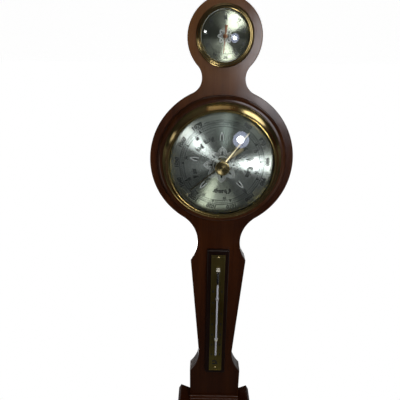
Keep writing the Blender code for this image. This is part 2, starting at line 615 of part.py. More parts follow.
# the glass: bulb and stem are one turned piece standing up the wall, its bore
# open at the tip so that the spirit inside is a piece of its own
UP = (0.0, 0.0, 0.0)
TUBE_H = PLATE_H1 + BULB_R + 0.25
zb = BULB_Z0
turned("thermometer_tube", "glass",
       [(0.62, TUBE_TOP_Z), (TUBE_R, TUBE_TOP_Z), (TUBE_R, BULB_Z1 + 2.0), (BULB_R, BULB_Z1 - 0.5), (BULB_R, zb + 1.2),
        (BULB_R * 0.7, zb + 0.3), (0, zb), (0, zb + 0.8), (1.0, zb + 1.1), (1.5, zb + 1.8), (1.5, BULB_Z1 - 1.2),
        (0.62, BULB_Z1 + 1.0), (0.62, TUBE_TOP_Z)][:-1],
       front(0, 0, TUBE_H), steps=14, rot=UP, closed=True)
SPIRIT_TOP_Z = 222.0
turned("thermometer_spirit", "spirit",
       [(0, SPIRIT_TOP_Z), (0.3, SPIRIT_TOP_Z), (0.3, BULB_Z1 - 0.2), (1.15, BULB_Z1 - 1.8), (1.15, zb + 2.0),
        (0.8, zb + 1.5), (0, zb + 1.4)],
       front(0, 0, TUBE_H), steps=10, rot=UP)


def strap(name, z0, z1, foot):
    """Bent strap over the stem: an arch with a foot to each side."""
    r_in, r_out = TUBE_R + 0.3, TUBE_R + 0.9
    h = TUBE_H
    base = PLATE_H1 + 0.25
    pts = [(foot, base), (foot, base + 0.6), (r_out, base + 0.6)]
    pts += arc(0, h, r_out, 0, pi, 10)
    pts += [(-r_out, base + 0.6), (-foot, base + 0.6), (-foot, base), (-r_in, base)]
    pts += arc(0, h, r_in, pi, 0, 10)
    pts += [(r_in, base)]
    ob = plate(name, "white_clip", [pts], 0.0, z1 - z0, (0, 0, 0), rot=UP)
    # the section lies in local XY; stand it up so it runs along the stem
    for v in ob.data.vertices:
        x, y, z = v.co
        v.co = (x, -y, z)
    b = bmesh.new()
    b.from_mesh(ob.data)
    bmesh.ops.recalc_face_normals(b, faces=b.faces)
    b.to_mesh(ob.data)
    b.free()
    ob.location = [c * MM for c in front(0, z0, 0)]
    return ob


strap("tube_clip_upper", 242.8, 245.8, 3.0)
strap("tube_clip_middle", 177.4, 179.4, 2.9)
# the rest that the bulb stands on
box("bulb_rest", "white_clip", -2.6, 2.6, 132.4, 137.2, PLATE_H1 + 0.25, PLATE_H1 + 3.2, front())

cut(board, *board_cuts)
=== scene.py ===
import json
from math import atan2, ceil, cos, hypot, pi, radians, sin, sqrt, tan

import bmesh
import bpy
import numpy as np
from mathutils import Matrix, Quaternion, Vector

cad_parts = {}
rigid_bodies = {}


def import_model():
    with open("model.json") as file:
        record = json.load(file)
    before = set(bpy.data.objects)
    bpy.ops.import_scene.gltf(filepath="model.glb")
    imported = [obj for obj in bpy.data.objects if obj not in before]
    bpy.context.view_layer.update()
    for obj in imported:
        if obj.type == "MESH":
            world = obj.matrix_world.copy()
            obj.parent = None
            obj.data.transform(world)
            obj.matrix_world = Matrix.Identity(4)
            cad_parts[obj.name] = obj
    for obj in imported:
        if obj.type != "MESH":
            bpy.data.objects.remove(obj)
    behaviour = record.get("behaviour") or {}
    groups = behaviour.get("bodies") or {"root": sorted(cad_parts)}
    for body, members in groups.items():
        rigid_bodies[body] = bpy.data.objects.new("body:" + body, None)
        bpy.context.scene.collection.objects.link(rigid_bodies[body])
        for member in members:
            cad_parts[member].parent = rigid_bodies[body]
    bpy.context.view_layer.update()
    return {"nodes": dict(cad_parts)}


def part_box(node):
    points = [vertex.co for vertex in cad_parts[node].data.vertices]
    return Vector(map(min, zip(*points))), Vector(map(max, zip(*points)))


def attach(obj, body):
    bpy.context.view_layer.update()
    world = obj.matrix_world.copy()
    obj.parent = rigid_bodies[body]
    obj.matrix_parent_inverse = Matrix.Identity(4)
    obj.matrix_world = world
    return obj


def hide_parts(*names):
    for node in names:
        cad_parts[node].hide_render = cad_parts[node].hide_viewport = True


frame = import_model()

NODES = frame["nodes"]
MM = 0.001
scene = bpy.context.scene

# ---- the part's own places, read from the frame -------------------------------------------
dial_lo, dial_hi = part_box("main_dial")
board_lo, board_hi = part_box("case_board")
hyg_lo, hyg_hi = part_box("hygro_dial")
CX = (dial_lo.x + dial_hi.x) / 2
CZ = (dial_lo.z + dial_hi.z) / 2
BY = board_lo.y                                   # the board's front face
ORIGIN = Vector((CX, BY, CZ))                     # dial's middle on the board's face
HZ = ((hyg_lo.z + hyg_hi.z) / 2 - CZ) / MM        # hygrometer's middle, in mm from the dial's

# ---- sizes, in mm, as in the CAD ------------------------------------------------------------
BOARD_T = (board_hi.y - board_lo.y) / MM
DISC_R, DISC_Z = 80.0, 0.5
LOBE_R, LOBE_Z = 37.4, -125.5
NECK_R = 17.0
WAIST_W, WAIST_R = 26.0, 38.7
FLARE_R, SHOULDER_W = 45.0, 34.4
TRUNK_TOP_W, TRUNK_TOP_Z = 23.2, 276.0
HEAD_FILLET_R, HEAD_W = 50.7, 35.9
DRUM_HOLE_R, HYGRO_HOLE_R = 52.0, 23.3
ROOF_TIP_X, ROOF_TIP_Z, ROOF_SLOPE, ROOF_T, ROOF_OUT = 49.9, 357.6, radians(26.5), 8.0, 14.0
GAP = 0.3
FRIEZE_Z, FRIEZE_STEP_Z, FRIEZE_H1, FRIEZE_H2 = 356.4, 360.6, 3.3, 4.6
RING_R, RING_H = 71.7, 7.5
BEZ_BASE, BEZ_RIM, BEZ_IN, BEZ_TOP = 65.0, 58.0, 56.1, 19.0
GLASS_R, GLASS_RISE, GLASS_T = 57.3, 6.5, 1.6
DIAL_R, DIAL_H, DIAL_T = 56.0, 14.4, 0.8
KNOB_R, KNOB_TOP = 7.65, 30.2
HAND_ANGLE, SET_ANGLE, HYG_ANGLE = 49.8, 217.9, 4.7
HAND_L, HAND_TAIL, SET_L, SET_TAIL, SET_LEAN = 45.0, 28.3, 44.5, 9.5, 0.0607
HYG_BASE, HYG_OUT, HYG_IN, HYG_TOP = 28.8, 27.6, 23.8, 4.6
BLOCK_W, BLOCK_Z0, BLOCK_Z1, BLOCK_H = 26.6, 109.7, 306.5, 6.0
PLATE_W, PLATE_Z0, PLATE_Z1, PLATE_T = 17.4, 115.4, 301.2, 0.8
TUBE_R, TUBE_TOP = 1.3, 272.5
BULB_R, BULB_Z0, BULB_Z1 = 2.15, 137.6, 155.5
PLATE_H0 = BLOCK_H + GAP
PLATE_H1 = PLATE_H0 + PLATE_T
TUBE_H = PLATE_H1 + BULB_R + 0.25
HOOK_Z = -ORIGIN.z / MM
TEN_MB = 26.78                                    # degrees of the scale per 10 millibars
MB_1015 = -1.45                                   # where 1015 stands, clockwise from the top


# ================================ materials ====================================================
class Mat:
    """Small helper around a node tree."""

    def __init__(self, name):
        self.mat = bpy.data.materials.new(name)
        self.mat.use_nodes = True
        self.nt = self.mat.node_tree
        self.nt.nodes.clear()
        self.out = self.nt.nodes.new("ShaderNodeOutputMaterial")
        self.tc = None

    def node(self, kind, inputs=None, **props):
        n = self.nt.nodes.new(kind)
        for k, v in props.items():
            setattr(n, k, v)
        for k, v in (inputs or {}).items():
            self.set(n.inputs[k], v)
        return n

    def set(self, socket, v):
        if isinstance(v, bpy.types.NodeSocket):
            self.nt.links.new(v, socket)
        elif isinstance(v, (tuple, list)) and socket.type == "RGBA" and len(v) == 3:
            socket.default_value = (*v, 1.0)
        else:
            socket.default_value = v

    def coords(self):
        if self.tc is None:
            self.tc = self.node("ShaderNodeTexCoord")
        return self.tc.outputs["Object"]

    def map(self, vec, scale=(1, 1, 1), loc=(0, 0, 0), rot=(0, 0, 0)):
        return self.node("ShaderNodeMapping", {"Vector": vec, "Scale": scale, "Location": loc, "Rotation": rot}).outputs[0]

    def noise(self, vec, scale=1.0, detail=3.0, rough=0.5, distortion=0.0, colour=False):
        n = self.node("ShaderNodeTexNoise", {"Vector": vec, "Scale": scale, "Detail": detail, "Roughness": rough,
                                             "Distortion": distortion})
        return n.outputs["Color"] if colour else n.outputs["Fac"]

    def voronoi(self, vec, scale=1.0, feature="F1"):
        n = self.node("ShaderNodeTexVoronoi", {"Vector": vec, "Scale": scale}, feature=feature)
        return n.outputs["Distance"]

    def ramp(self, fac, stops, mode="LINEAR"):
        n = self.node("ShaderNodeValToRGB", {"Fac": fac})
        cr = n.color_ramp
        cr.interpolation = mode
        while len(cr.elements) < len(stops):
            cr.elements.new(0.5)
        for e, (p, c) in zip(cr.elements, stops):
            e.position = p
            e.color = (c, c, c, 1.0) if isinstance(c, (int, float)) else (*c, 1.0)
        return n.outputs["Color"]

    def math(self, op, a, b=0.0, c=0.0, clamp=False):
        n = self.node("ShaderNodeMath", operation=op, use_clamp=clamp)
        self.set(n.inputs[0], a)
        self.set(n.inputs[1], b)
        self.set(n.inputs[2], c)
        return n.outputs[0]

    def vmath(self, op, a, b=(0, 0, 0)):
        n = self.node("ShaderNodeVectorMath", operation=op)
        self.set(n.inputs[0], a)
        self.set(n.inputs[1], b)
        return n.outputs["Value"] if op in ("LENGTH", "DOT_PRODUCT") else n.outputs["Vector"]

    def mix(self, fac, a, b, blend="MIX"):
        n = self.node("ShaderNodeMix", data_type="RGBA", blend_type=blend)
        self.set(n.inputs["Factor"], fac)
        self.set([i for i in n.inputs if i.name == "A" and i.type == "RGBA"][0], a)
        self.set([i for i in n.inputs if i.name == "B" and i.type == "RGBA"][0], b)
        return [o for o in n.outputs if o.type == "RGBA"][0]

    def range(self, v, a0, a1, b0, b1, smooth=False):
        n = self.node("ShaderNodeMapRange", {"Value": v, "From Min": a0, "From Max": a1, "To Min": b0, "To Max": b1},
                      interpolation_type="SMOOTHSTEP" if smooth else "LINEAR")
        return n.outputs[0]

    def bump(self, height, strength=0.3, distance=0.0002, normal=None):
        ins = {"Height": height, "Strength": strength, "Distance": distance}
        if normal is not None:
            ins["Normal"] = normal
        return self.node("ShaderNodeBump", ins).outputs[0]

    def split(self, vec):
        return self.node("ShaderNodeSeparateXYZ", {"Vector": vec}).outputs

    def join(self, x, y, z):
        n = self.node("ShaderNodeCombineXYZ")
        for s, v in zip(n.inputs, (x, y, z)):
            self.set(s, v)
        return n.outputs[0]

    def principled(self, **ins):
        n = self.node("ShaderNodeBsdfPrincipled")
        for k, v in ins.items():
            self.set(n.inputs[k.replace("_", " ")], v)
        return n.outputs[0]

    def end(self, shader):
        self.nt.links.new(shader, self.out.inputs["Surface"])
        return self.mat


def wood(name, dark, mid, light, along="Z", seed=0.0, rough=0.34, coat=0.7, coat_rough=0.13, grain=1.0, figure=1.0,
         pores=1.0, pale_foot=None):
    """Open-grained wood: slow ribbon figure, fine fibres and short dark pores, under a varnish."""
    m = Mat(name)
    p = m.coords()
    p = m.vmath("ADD", p, (seed, seed * 0.37, seed * 1.7))

    def stretched(across, along_):
        s = {"X": (along_, across, across), "Y": (across, along_, across), "Z": (across, across, along_)}[along]
        return m.map(p, scale=s)

    warp = m.noise(stretched(22, 7), 1.0, 2.0, 0.5, colour=True)
    warp = m.vmath("SCALE", m.vmath("SUBTRACT", warp, (0.5, 0.5, 0.5)))
    warp.node.inputs["Scale"].default_value = 0.5
    band = m.noise(m.vmath("ADD", stretched(70, 1.6), warp), 1.0, 4.0, 0.55)
    wide = m.noise(stretched(16, 2.0), 1.0, 2.0, 0.5)
    fibre = m.noise(m.vmath("ADD", stretched(900, 16), warp), 1.0, 5.0, 0.65)
    pore = m.noise(stretched(2600, 95), 1.0, 2.0, 0.5)
    pore = m.range(pore, 0.60, 0.70, 0.0, 1.0, True)
    t = m.math("MULTIPLY_ADD", band, 0.52 * figure, m.math("MULTIPLY", wide, 0.30))
    t = m.math("MULTIPLY_ADD", fibre, 0.24 * grain, t)
    colour = m.ramp(t, [(0.30, dark), (0.52, mid), (0.74, light)])
    colour = m.mix(m.math("MULTIPLY", pore, 0.6 * pores), colour, tuple(c * 0.35 for c in dark))
    age = m.noise(m.map(p, scale=(9, 9, 9)), 1.0, 3.0, 0.6)
    colour = m.mix(m.range(age, 0.35, 0.75, 0.0, 0.35), colour, tuple(c * 0.7 for c in dark))
    if pale_foot:
        # the foot of the board is paler; painted shade darkens the wood towards the top, under the roof
        z = m.split(m.coords())[2]
        z = m.math("MULTIPLY_ADD", m.math("SUBTRACT", wide, 0.5), 0.03, z)
        pale = m.ramp(t, [(0.30, tuple(c * 0.62 for c in pale_foot)), (0.52, pale_foot), (0.74, tuple(c * 1.35 for c in pale_foot))])
        pale = m.mix(m.math("MULTIPLY", pore, 0.5 * pores), pale, tuple(c * 0.3 for c in pale_foot))
        colour = m.mix(m.range(z, -0.045, -0.108, 0.0, 0.9, True), colour, pale)
        # painted shade: the wood grows darker towards the top, where the roof shades it
        colour = m.mix(m.range(z, 0.10, 0.26, 0.0, 0.45, True), colour, tuple(c * 0.4 for c in dark))
    h = m.math("MULTIPLY_ADD", pore, -0.7, m.math("MULTIPLY", fibre, 0.35))
    h = m.math("MULTIPLY_ADD", band, 0.3, h)
    smear = m.noise(m.map(p, scale=(60, 60, 60)), 1.0, 3.0, 0.6)
    r = m.range(smear, 0.3, 0.7, rough - 0.05, rough + 0.08)
    r = m.math("ADD", r, m.math("MULTIPLY", pore, 0.12))
    cr = m.range(smear, 0.3, 0.75, coat_rough * 0.75, coat_rough * 1.5)
    orange = m.noise(m.map(p, scale=(350, 350, 350)), 1.0, 1.0, 0.5)
    sh = m.principled(Base_Color=colour, Roughness=r, Normal=m.bump(h, 0.35, 0.00012), Coat_Weight=coat,
                      Coat_Roughness=cr, Coat_Normal=m.bump(m.math("MULTIPLY_ADD", orange, 0.5, h), 0.10, 0.0001),
                      IOR=1.5, Specular_IOR_Level=0.12)
    return m.end(sh)


def metal(name, colour, tint, rough=0.24, wear=0.5, scratch=0.5, spun=None, aniso=0.0, dirt=(0.05, 0.035, 0.015),
          dirt_amount=0.25, scale=1.0, tone=None):
    """Used metal: cloudy tone, fine scratches, dull film in patches. spun: 'Y' turns the scratches
    into lathe marks about the object's own Y axis, 'Z' about Z."""
    m = Mat(name)
    p = m.coords()
    cloud = m.noise(m.map(p, scale=(90 * scale,) * 3), 1.0, 4.0, 0.6)
    fine = m.noise(m.map(p, scale=(900 * scale,) * 3), 1.0, 3.0, 0.6)
    colour_ = m.mix(m.range(cloud, 0.3, 0.7, 0.0, 1.0), colour, tint)
    film = m.range(m.noise(m.map(p, scale=(230 * scale,) * 3, loc=(3.1, 1.7, 5.2)), 1.0, 5.0, 0.65), 0.50, 0.78, 0.0, 1.0,
                   True)
    colour_ = m.mix(m.math("MULTIPLY", film, dirt_amount), colour_, dirt)
    if spun:
        x, y, z = m.split(p)
        a, b, c = {"Y": (x, z, y), "Z": (x, y, z), "X": (y, z, x)}[spun]
        rr = m.math("SQRT", m.math("ADD", m.math("MULTIPLY", a, a), m.math("MULTIPLY", b, b)))
        ang = m.math("ARCTAN2", a, b)
        marks = m.noise(m.join(m.math("MULTIPLY", rr, 5200.0), m.math("MULTIPLY", c, 5200.0),
                               m.math("MULTIPLY", ang, 0.8)), 1.0, 2.0, 0.6)
    else:
        marks = m.noise(m.map(p, scale=(1700, 260, 190), rot=(0.3, 0.2, 0.5)), 1.0, 2.0, 0.6)
    if tone:
        # tone: the colour is multiplied by a ramp up the height (z), between two levels
        up = m.range(m.split(p)[2], tone[0], tone[1], 0.0, 1.0)
        colour_ = m.mix(1.0, colour_, m.ramp(up, tone[2]), "MULTIPLY")
    r = m.range(cloud, 0.3, 0.7, rough - 0.04, rough + 0.05)
    r = m.math("ADD", r, m.math("MULTIPLY", film, 0.16 * wear))
    r = m.math("MULTIPLY_ADD", m.math("SUBTRACT", fine, 0.5), 0.08, r, clamp=True)
    h = m.math("MULTIPLY_ADD", marks, scratch, m.math("MULTIPLY", fine, 0.25))
    ins = dict(Base_Color=colour_, Metallic=1.0, Roughness=r, Normal=m.bump(h, 0.12, 0.00006))
    if aniso:
        ins["Anisotropic"] = aniso
        ins["Anisotropic_Rotation"] = 0.25
        ins["Tangent"] = m.node("ShaderNodeTangent", direction_type="RADIAL", axis=spun or "Y").outputs[0]
    return m.end(m.principled(**ins))


def glass(name, tint=(0.97, 0.985, 0.98), rough=0.012, gloss=1.0, dust=0.02):
    """Clear sheet glass: light passes straight through and its faces mirror by the angle."""
    m = Mat(name)
    face = m.node("ShaderNodeLayerWeight", {"Blend": 0.5}).outputs["Facing"]
    f = m.math("MULTIPLY_ADD", m.math("POWER", face, 5.0), 0.9, 0.042)
    f = m.math("MULTIPLY", f, gloss, clamp=True)
    p = m.coords()
    haze = m.noise(m.map(p, scale=(120,) * 3), 1.0, 4.0, 0.6)
    specks = m.range(m.voronoi(p, 420.0), 0.0, 0.10, 1.0, 0.0)
    clear = m.node("ShaderNodeBsdfTransparent", {"Color": tint}).outputs[0]
    mirror = m.node("ShaderNodeBsdfGlossy", {"Color": (1, 1, 1), "Roughness": m.range(haze, 0.3, 0.7, rough * 0.6, rough * 2)})
    s1 = m.node("ShaderNodeMixShader", {0: f, 1: clear, 2: mirror.outputs[0]}).outputs[0]
    film = m.node("ShaderNodeBsdfDiffuse", {"Color": (0.8, 0.8, 0.78)}).outputs[0]
    amount = m.math("MULTIPLY_ADD", specks, dust, m.range(haze, 0.45, 0.8, 0.0, dust * 0.4))
    return m.end(m.node("ShaderNodeMixShader", {0: amount, 1: s1, 2: film}).outputs[0])


def spun_dial(name, colour, tint, rough=0.255, aniso=0.945, radius=0.056, lean_=0.15):
    """Silvered disc brushed in circles."""
    m = Mat(name)
    p = m.coords()
    x, y, z = m.split(p)
    rr = m.math("SQRT", m.math("ADD", m.math("MULTIPLY", x, x), m.math("MULTIPLY", z, z)))
    ang = m.math("ARCTAN2", x, z)
    fine = m.noise(m.join(m.math("MULTIPLY", rr, 9000.0), m.math("MULTIPLY", ang, 1.3), 0.3), 1.0, 3.0, 0.6)
    mid = m.noise(m.join(m.math("MULTIPLY", rr, 1900.0), m.math("MULTIPLY", ang, 0.6), 7.3), 1.0, 2.0, 0.6)
    cloud = m.noise(m.map(p, scale=(70, 70, 70)), 1.0, 3.0, 0.6)
    c = m.mix(m.range(cloud, 0.3, 0.7, 0.0, 1.0), colour, tint)
    c = m.mix(m.range(mid, 0.3, 0.7, 0.0, 0.14), c, tuple(v * 0.72 for v in colour))
    edge = m.range(rr, radius * 0.80, radius, 0.0, 0.22)
    c = m.mix(edge, c, (0.30, 0.27, 0.15))
    r = m.range(fine, 0.3, 0.7, rough - 0.02, rough + 0.02)
    tan_ = m.node("ShaderNodeTangent", direction_type="RADIAL", axis="Y").outputs[0]
    h = m.math("MULTIPLY_ADD", mid, 0.6, fine)
    # the disc is spun very slightly hollow-ground, so its face leans outwards everywhere
    lean = m.bump(m.math("MULTIPLY", rr, -lean_), 1.0, 1.0)
    sh = m.principled(Base_Color=c, Metallic=0.96, Roughness=r, Anisotropic=aniso, Anisotropic_Rotation=0.25,
                      Tangent=tan_, Normal=m.bump(h, 0.05, 0.000008, lean))
    return m.end(sh)


def ink(name, colour, rough=0.42):
    m = Mat(name)
    n = m.noise(m.map(m.coords(), scale=(900,) * 3), 1.0, 3.0, 0.6)
    c = m.mix(m.range(n, 0.3, 0.7, 0.0, 1.0), colour, tuple(min(1.0, v * 1.5 + 0.01) for v in colour))
    return m.end(m.principled(Base_Color=c, Roughness=m.range(n, 0.3, 0.7, rough - 0.06, rough + 0.08),
                              Normal=m.bump(n, 0.1, 0.00002)))


def enamel(name, colour, rough=0.3, scale=600):
    m = Mat(name)
    n = m.noise(m.map(m.coords(), scale=(scale,) * 3), 1.0, 4.0, 0.6)
    c = m.mix(m.range(n, 0.35, 0.75, 0.0, 1.0), colour, tuple(v * 0.82 for v in colour))
    return m.end(m.principled(Base_Color=c, Roughness=m.range(n, 0.3, 0.7, rough - 0.05, rough + 0.1),
                              Normal=m.bump(n, 0.15, 0.00005), Coat_Weight=0.3, Coat_Roughness=0.15))


W_DARK, W_MID, W_LIGHT = (0.019, 0.0042, 0.0007), (0.048, 0.0112, 0.0018), (0.094, 0.026, 0.0050)
MAT = {
    "board": wood("board_mahogany", W_DARK, W_MID, W_LIGHT, seed=0.13, pale_foot=(0.150, 0.062, 0.018)),
    "roof": wood("roof_mahogany", W_DARK, W_MID, W_LIGHT, along="X", seed=1.9),
    "frieze": wood("frieze_mahogany", W_DARK, W_MID, W_LIGHT, along="X", seed=2.7),
    "block": wood("block_mahogany", (0.0045, 0.0013, 0.0007), (0.010, 0.0029, 0.0015), (0.019, 0.0058, 0.003), seed=3.3,
                  figure=0.8),
    "ring": wood("ring_wood", (0.030, 0.0082, 0.0018), (0.066, 0.0195, 0.0048), (0.115, 0.038, 0.0105), seed=4.1,
                 coat=0.5, coat_rough=0.12),
    "bezel": metal("bezel_brass", (0.66, 0.49, 0.19), (0.52, 0.40, 0.16), rough=0.20, spun="Y", aniso=0.3),
    "knob": metal("knob_brass", (0.44, 0.36, 0.17), (0.33, 0.27, 0.12), rough=0.26, spun="Y", aniso=0.75),
    "set_hand": metal("set_hand_brass", (0.86, 0.74, 0.46), (0.74, 0.62, 0.36), rough=0.3, dirt_amount=0.1),
    "indicator": metal("indicator_metal", (0.20, 0.17, 0.10), (0.13, 0.11, 0.07), rough=0.36, dirt_amount=0.2),
    "dial": spun_dial("dial_silvered", (0.47, 0.485, 0.468), (0.42, 0.435, 0.41)),
    "hyg_dial": spun_dial("hygro_silvered", (0.60, 0.62, 0.54), (0.50, 0.53, 0.45), radius=0.0234),
    "hyg_bezel": metal("hygro_bezel_brass", (0.46, 0.36, 0.17), (0.36, 0.28, 0.13), rough=0.2, spun="Y", aniso=0.3),
    "copper": metal("copper_metal", (0.42, 0.20, 0.12), (0.30, 0.14, 0.08), rough=0.34),
    # thermometer plate: darker low down, darkest and browner below the middle, brighter and paler at the top end
    "plate": metal("plate_brass", (0.27, 0.20, 0.058), (0.22, 0.185, 0.055), rough=0.40, scratch=0.8, dirt_amount=0.3,
                   tone=(0.115, 0.30, [(0.0, 0.72), (0.12, 0.75), (0.45, (0.50, 0.42, 0.30)), (0.75, 0.80), (1.0, (1.7, 1.75, 1.4))])),
    "pin": metal("pin_brass", (0.78, 0.64, 0.32), (0.62, 0.5, 0.24), rough=0.22),
    "back_brass": metal("back_brass", (0.50, 0.39, 0.17), (0.36, 0.28, 0.12), rough=0.34, dirt_amount=0.5),
    "move_brass": metal("movement_brass", (0.62, 0.47, 0.2), (0.5, 0.38, 0.16), rough=0.28),
    "steel": metal("steel_metal", (0.46, 0.47, 0.49), (0.36, 0.36, 0.37), rough=0.3),
    "blued": metal("blued_steel_metal", (0.05, 0.07, 0.16), (0.03, 0.04, 0.09), rough=0.26, dirt_amount=0.1),
    "nickel": metal("nickel_metal", (0.62, 0.60, 0.55), (0.5, 0.48, 0.44), rough=0.26),
    "tin": metal("tinned_plate", (0.50, 0.50, 0.48), (0.38, 0.38, 0.36), rough=0.38, spun="Y", dirt_amount=0.4,
                 dirt=(0.12, 0.07, 0.04)),
    "glass": glass("dome_glass"),
    "tube_glass": glass("tube_glass_clear", rough=0.02, dust=0.0),
    "ink": ink("dial_ink", (0.012, 0.013, 0.012)),
    "lace": ink("dial_lace", (0.56, 0.58, 0.56), 0.5),
    "leaf": ink("dial_leaf_white", (0.72, 0.76, 0.74), 0.4),
    "plate_ink": ink("plate_ink", (0.012, 0.010, 0.006)),
    "plate_line": metal("plate_cut_line", (0.62, 0.5, 0.22), (0.5, 0.4, 0.16), rough=0.3),
    "clip": enamel("clip_white", (0.80, 0.78, 0.66), 0.4),
    "clip_dull": enamel("clip_grey", (0.40, 0.39, 0.40), 0.45),
    "tube_white": enamel("tube_white_back", (0.72, 0.72, 0.80), 0.35, 300),
    "spirit": ink("dark_spirit", (0.004, 0.003, 0.006), 0.15),
}


# ================================ mesh helpers ================================================
def finish_mesh(me, angle=32):
    bm = bmesh.new()
    bm.from_mesh(me)
    bmesh.ops.remove_doubles(bm, verts=bm.verts, dist=0.0000015)
    bmesh.ops.dissolve_degenerate(bm, dist=0.0000008, edges=bm.edges)
    bmesh.ops.recalc_face_normals(bm, faces=bm.faces)
    bm.to_mesh(me)
    bm.free()
    me.shade_smooth()
    me.set_sharp_from_angle(angle=radians(angle))


def add(name, me, mats, body, replaces=(), at=(0.0, 0.0), weighted=False):
    """Link a mesh whose points are in metres from the point `at` (mm from the dial's middle, on the
    board's face), let it ride on a body and hide the nodes it stands for."""
    for mt in mats if isinstance(mats, (list, tuple)) else [mats]:
        me.materials.append(MAT[mt])
    ob = bpy.data.objects.new(name, me)
    scene.collection.objects.link(ob)
    ob.location = ORIGIN + Vector((at[0] * MM, 0, at[1] * MM))
    if weighted:
        w = ob.modifiers.new("even_shading", "WEIGHTED_NORMAL")
        w.keep_sharp = True
        w.weight = 60
    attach(ob, body)
    if replaces:
        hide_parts(*([replaces] if isinstance(replaces, str) else replaces))
    return ob


def lathe_mesh(name, profile, steps=128, closed=False, angle=32, ripple=None):
    """Turn (radius, height) pairs, in mm, about the axis out of the board."""
    n = len(profile)
    ths = [2 * pi * i / steps for i in range(steps)]
    verts, faces = [], []
    for i, t in enumerate(ths):
        for j, (r, h) in enumerate(profile):
            rr = r + (ripple(i, j) if ripple else 0.0)
            verts.append((rr * cos(t) * MM, -h * MM, rr * sin(t) * MM))
    last = n if closed else n - 1
    for i in range(steps):
        k = (i + 1) % steps
        for j in range(last):
            j2 = (j + 1) % n
            faces.append((i * n + j, i * n + j2, k * n + j2, k * n + j))
    me = bpy.data.meshes.new(name)
    me.from_pydata(verts, [], faces)
    finish_mesh(me, angle)
    return me


def rounded(points, radius, n=4, closed=False):
    """A profile with its inner corners rounded. radius may be a number or one per point."""
    out = []
    count = len(points)
    for i, p in enumerate(points):
        r = radius[i] if isinstance(radius, (list, tuple)) else radius
        if (not closed and i in (0, count - 1)) or r <= 0:
            out.append(p)
            continue
        a, b = points[i - 1], points[(i + 1) % count]
        va, vb = (a[0] - p[0], a[1] - p[1]), (b[0] - p[0], b[1] - p[1])
        la, lb = hypot(*va), hypot(*vb)
        if la < 1e-6 or lb < 1e-6:
            out.append(p)
            continue
        ua, ub = (va[0] / la, va[1] / la), (vb[0] / lb, vb[1] / lb)
        cosang = max(-1.0, min(1.0, ua[0] * ub[0] + ua[1] * ub[1]))
        half = 0.5 * atan2(sqrt(max(0.0, 1 - cosang * cosang)), cosang)
        if half < 0.02 or abs(half - pi / 2) < 0.02:
            out.append(p)
            continue
        d = min(r / tan(half), 0.45 * la, 0.45 * lb)
        p0 = (p[0] + ua[0] * d, p[1] + ua[1] * d)
        p1 = (p[0] + ub[0] * d, p[1] + ub[1] * d)
        for k in range(n + 1):
            t = k / n
            w0, w1, w2 = (1 - t) ** 2, 2 * t * (1 - t), t * t
            out.append((w0 * p0[0] + w1 * p[0] + w2 * p1[0], w0 * p0[1] + w1 * p[1] + w2 * p1[1]))
    return out


def slab_mesh(name, loops, h0, h1, bevel=0.0, segments=3, angle=32):
    """A flat piece between heights h0 and h1, its edges rounded by bevel (mm)."""
    cu = bpy.data.curves.new(name, "CURVE")
    cu.dimensions = "2D"
    cu.fill_mode = "BOTH"
    half = abs(h1 - h0) / 2
    cu.extrude = max(half - bevel, 0.0) * MM
    if bevel:
        cu.bevel_depth = bevel * MM
        cu.bevel_resolution = segments - 1
        cu.offset = -bevel * MM
    for loop in loops:
        sp = cu.splines.new("POLY")
        sp.points.add(len(loop) - 1)
        for p, (x, y) in zip(sp.points, loop):
            p.co = (x * MM, y * MM, 0.0, 1.0)
        sp.use_cyclic_u = True
    ob = bpy.data.objects.new(name + "_tmp", cu)
    scene.collection.objects.link(ob)
    bpy.context.view_layer.update()
    me = bpy.data.meshes.new_from_object(ob.evaluated_get(bpy.context.evaluated_depsgraph_get()))
    me.name = name
    bpy.data.objects.remove(ob, do_unlink=True)
    bpy.data.curves.remove(cu)
    me.materials.clear()
    mid = (h0 + h1) / 2 * MM
    for v in me.vertices:
        x, y, z = v.co
        v.co = (x, -(z + mid), y)
    finish_mesh(me, angle)
    return me


def box_mesh(name, x0, x1, z0, z1, h0, h1, bevel=0.0, segments=3, cuts=0):
    bm = bmesh.new()
    vs = [bm.verts.new((x * MM, -h * MM, z * MM)) for h in (h0, h1) for z in (z0, z1) for x in (x0, x1)]
    for f in ((0, 1, 3, 2), (4, 6, 7, 5), (0, 4, 5, 1), (2, 3, 7, 6), (0, 2, 6, 4), (1, 5, 7, 3)):
        bm.faces.new([vs[i] for i in f])
    bmesh.ops.recalc_face_normals(bm, faces=bm.faces)
    if bevel:
        bmesh.ops.bevel(bm, geom=list(bm.edges), offset=bevel * MM, segments=segments, affect="EDGES", profile=0.5)
    me = bpy.data.meshes.new(name)
    bm.to_mesh(me)
    bm.free()
    finish_mesh(me)
    return me


def arc(cx, cy, r, a0, a1, n):
    return [(cx + r * cos(a0 + (a1 - a0) * i / n), cy + r * sin(a0 + (a1 - a0) * i / n)) for i in range(n + 1)]


def ring_points(r, n, cx=0.0, cy=0.0):
    return [(cx + r * cos(2 * pi * i / n), cy + r * sin(2 * pi * i / n)) for i in range(n)]


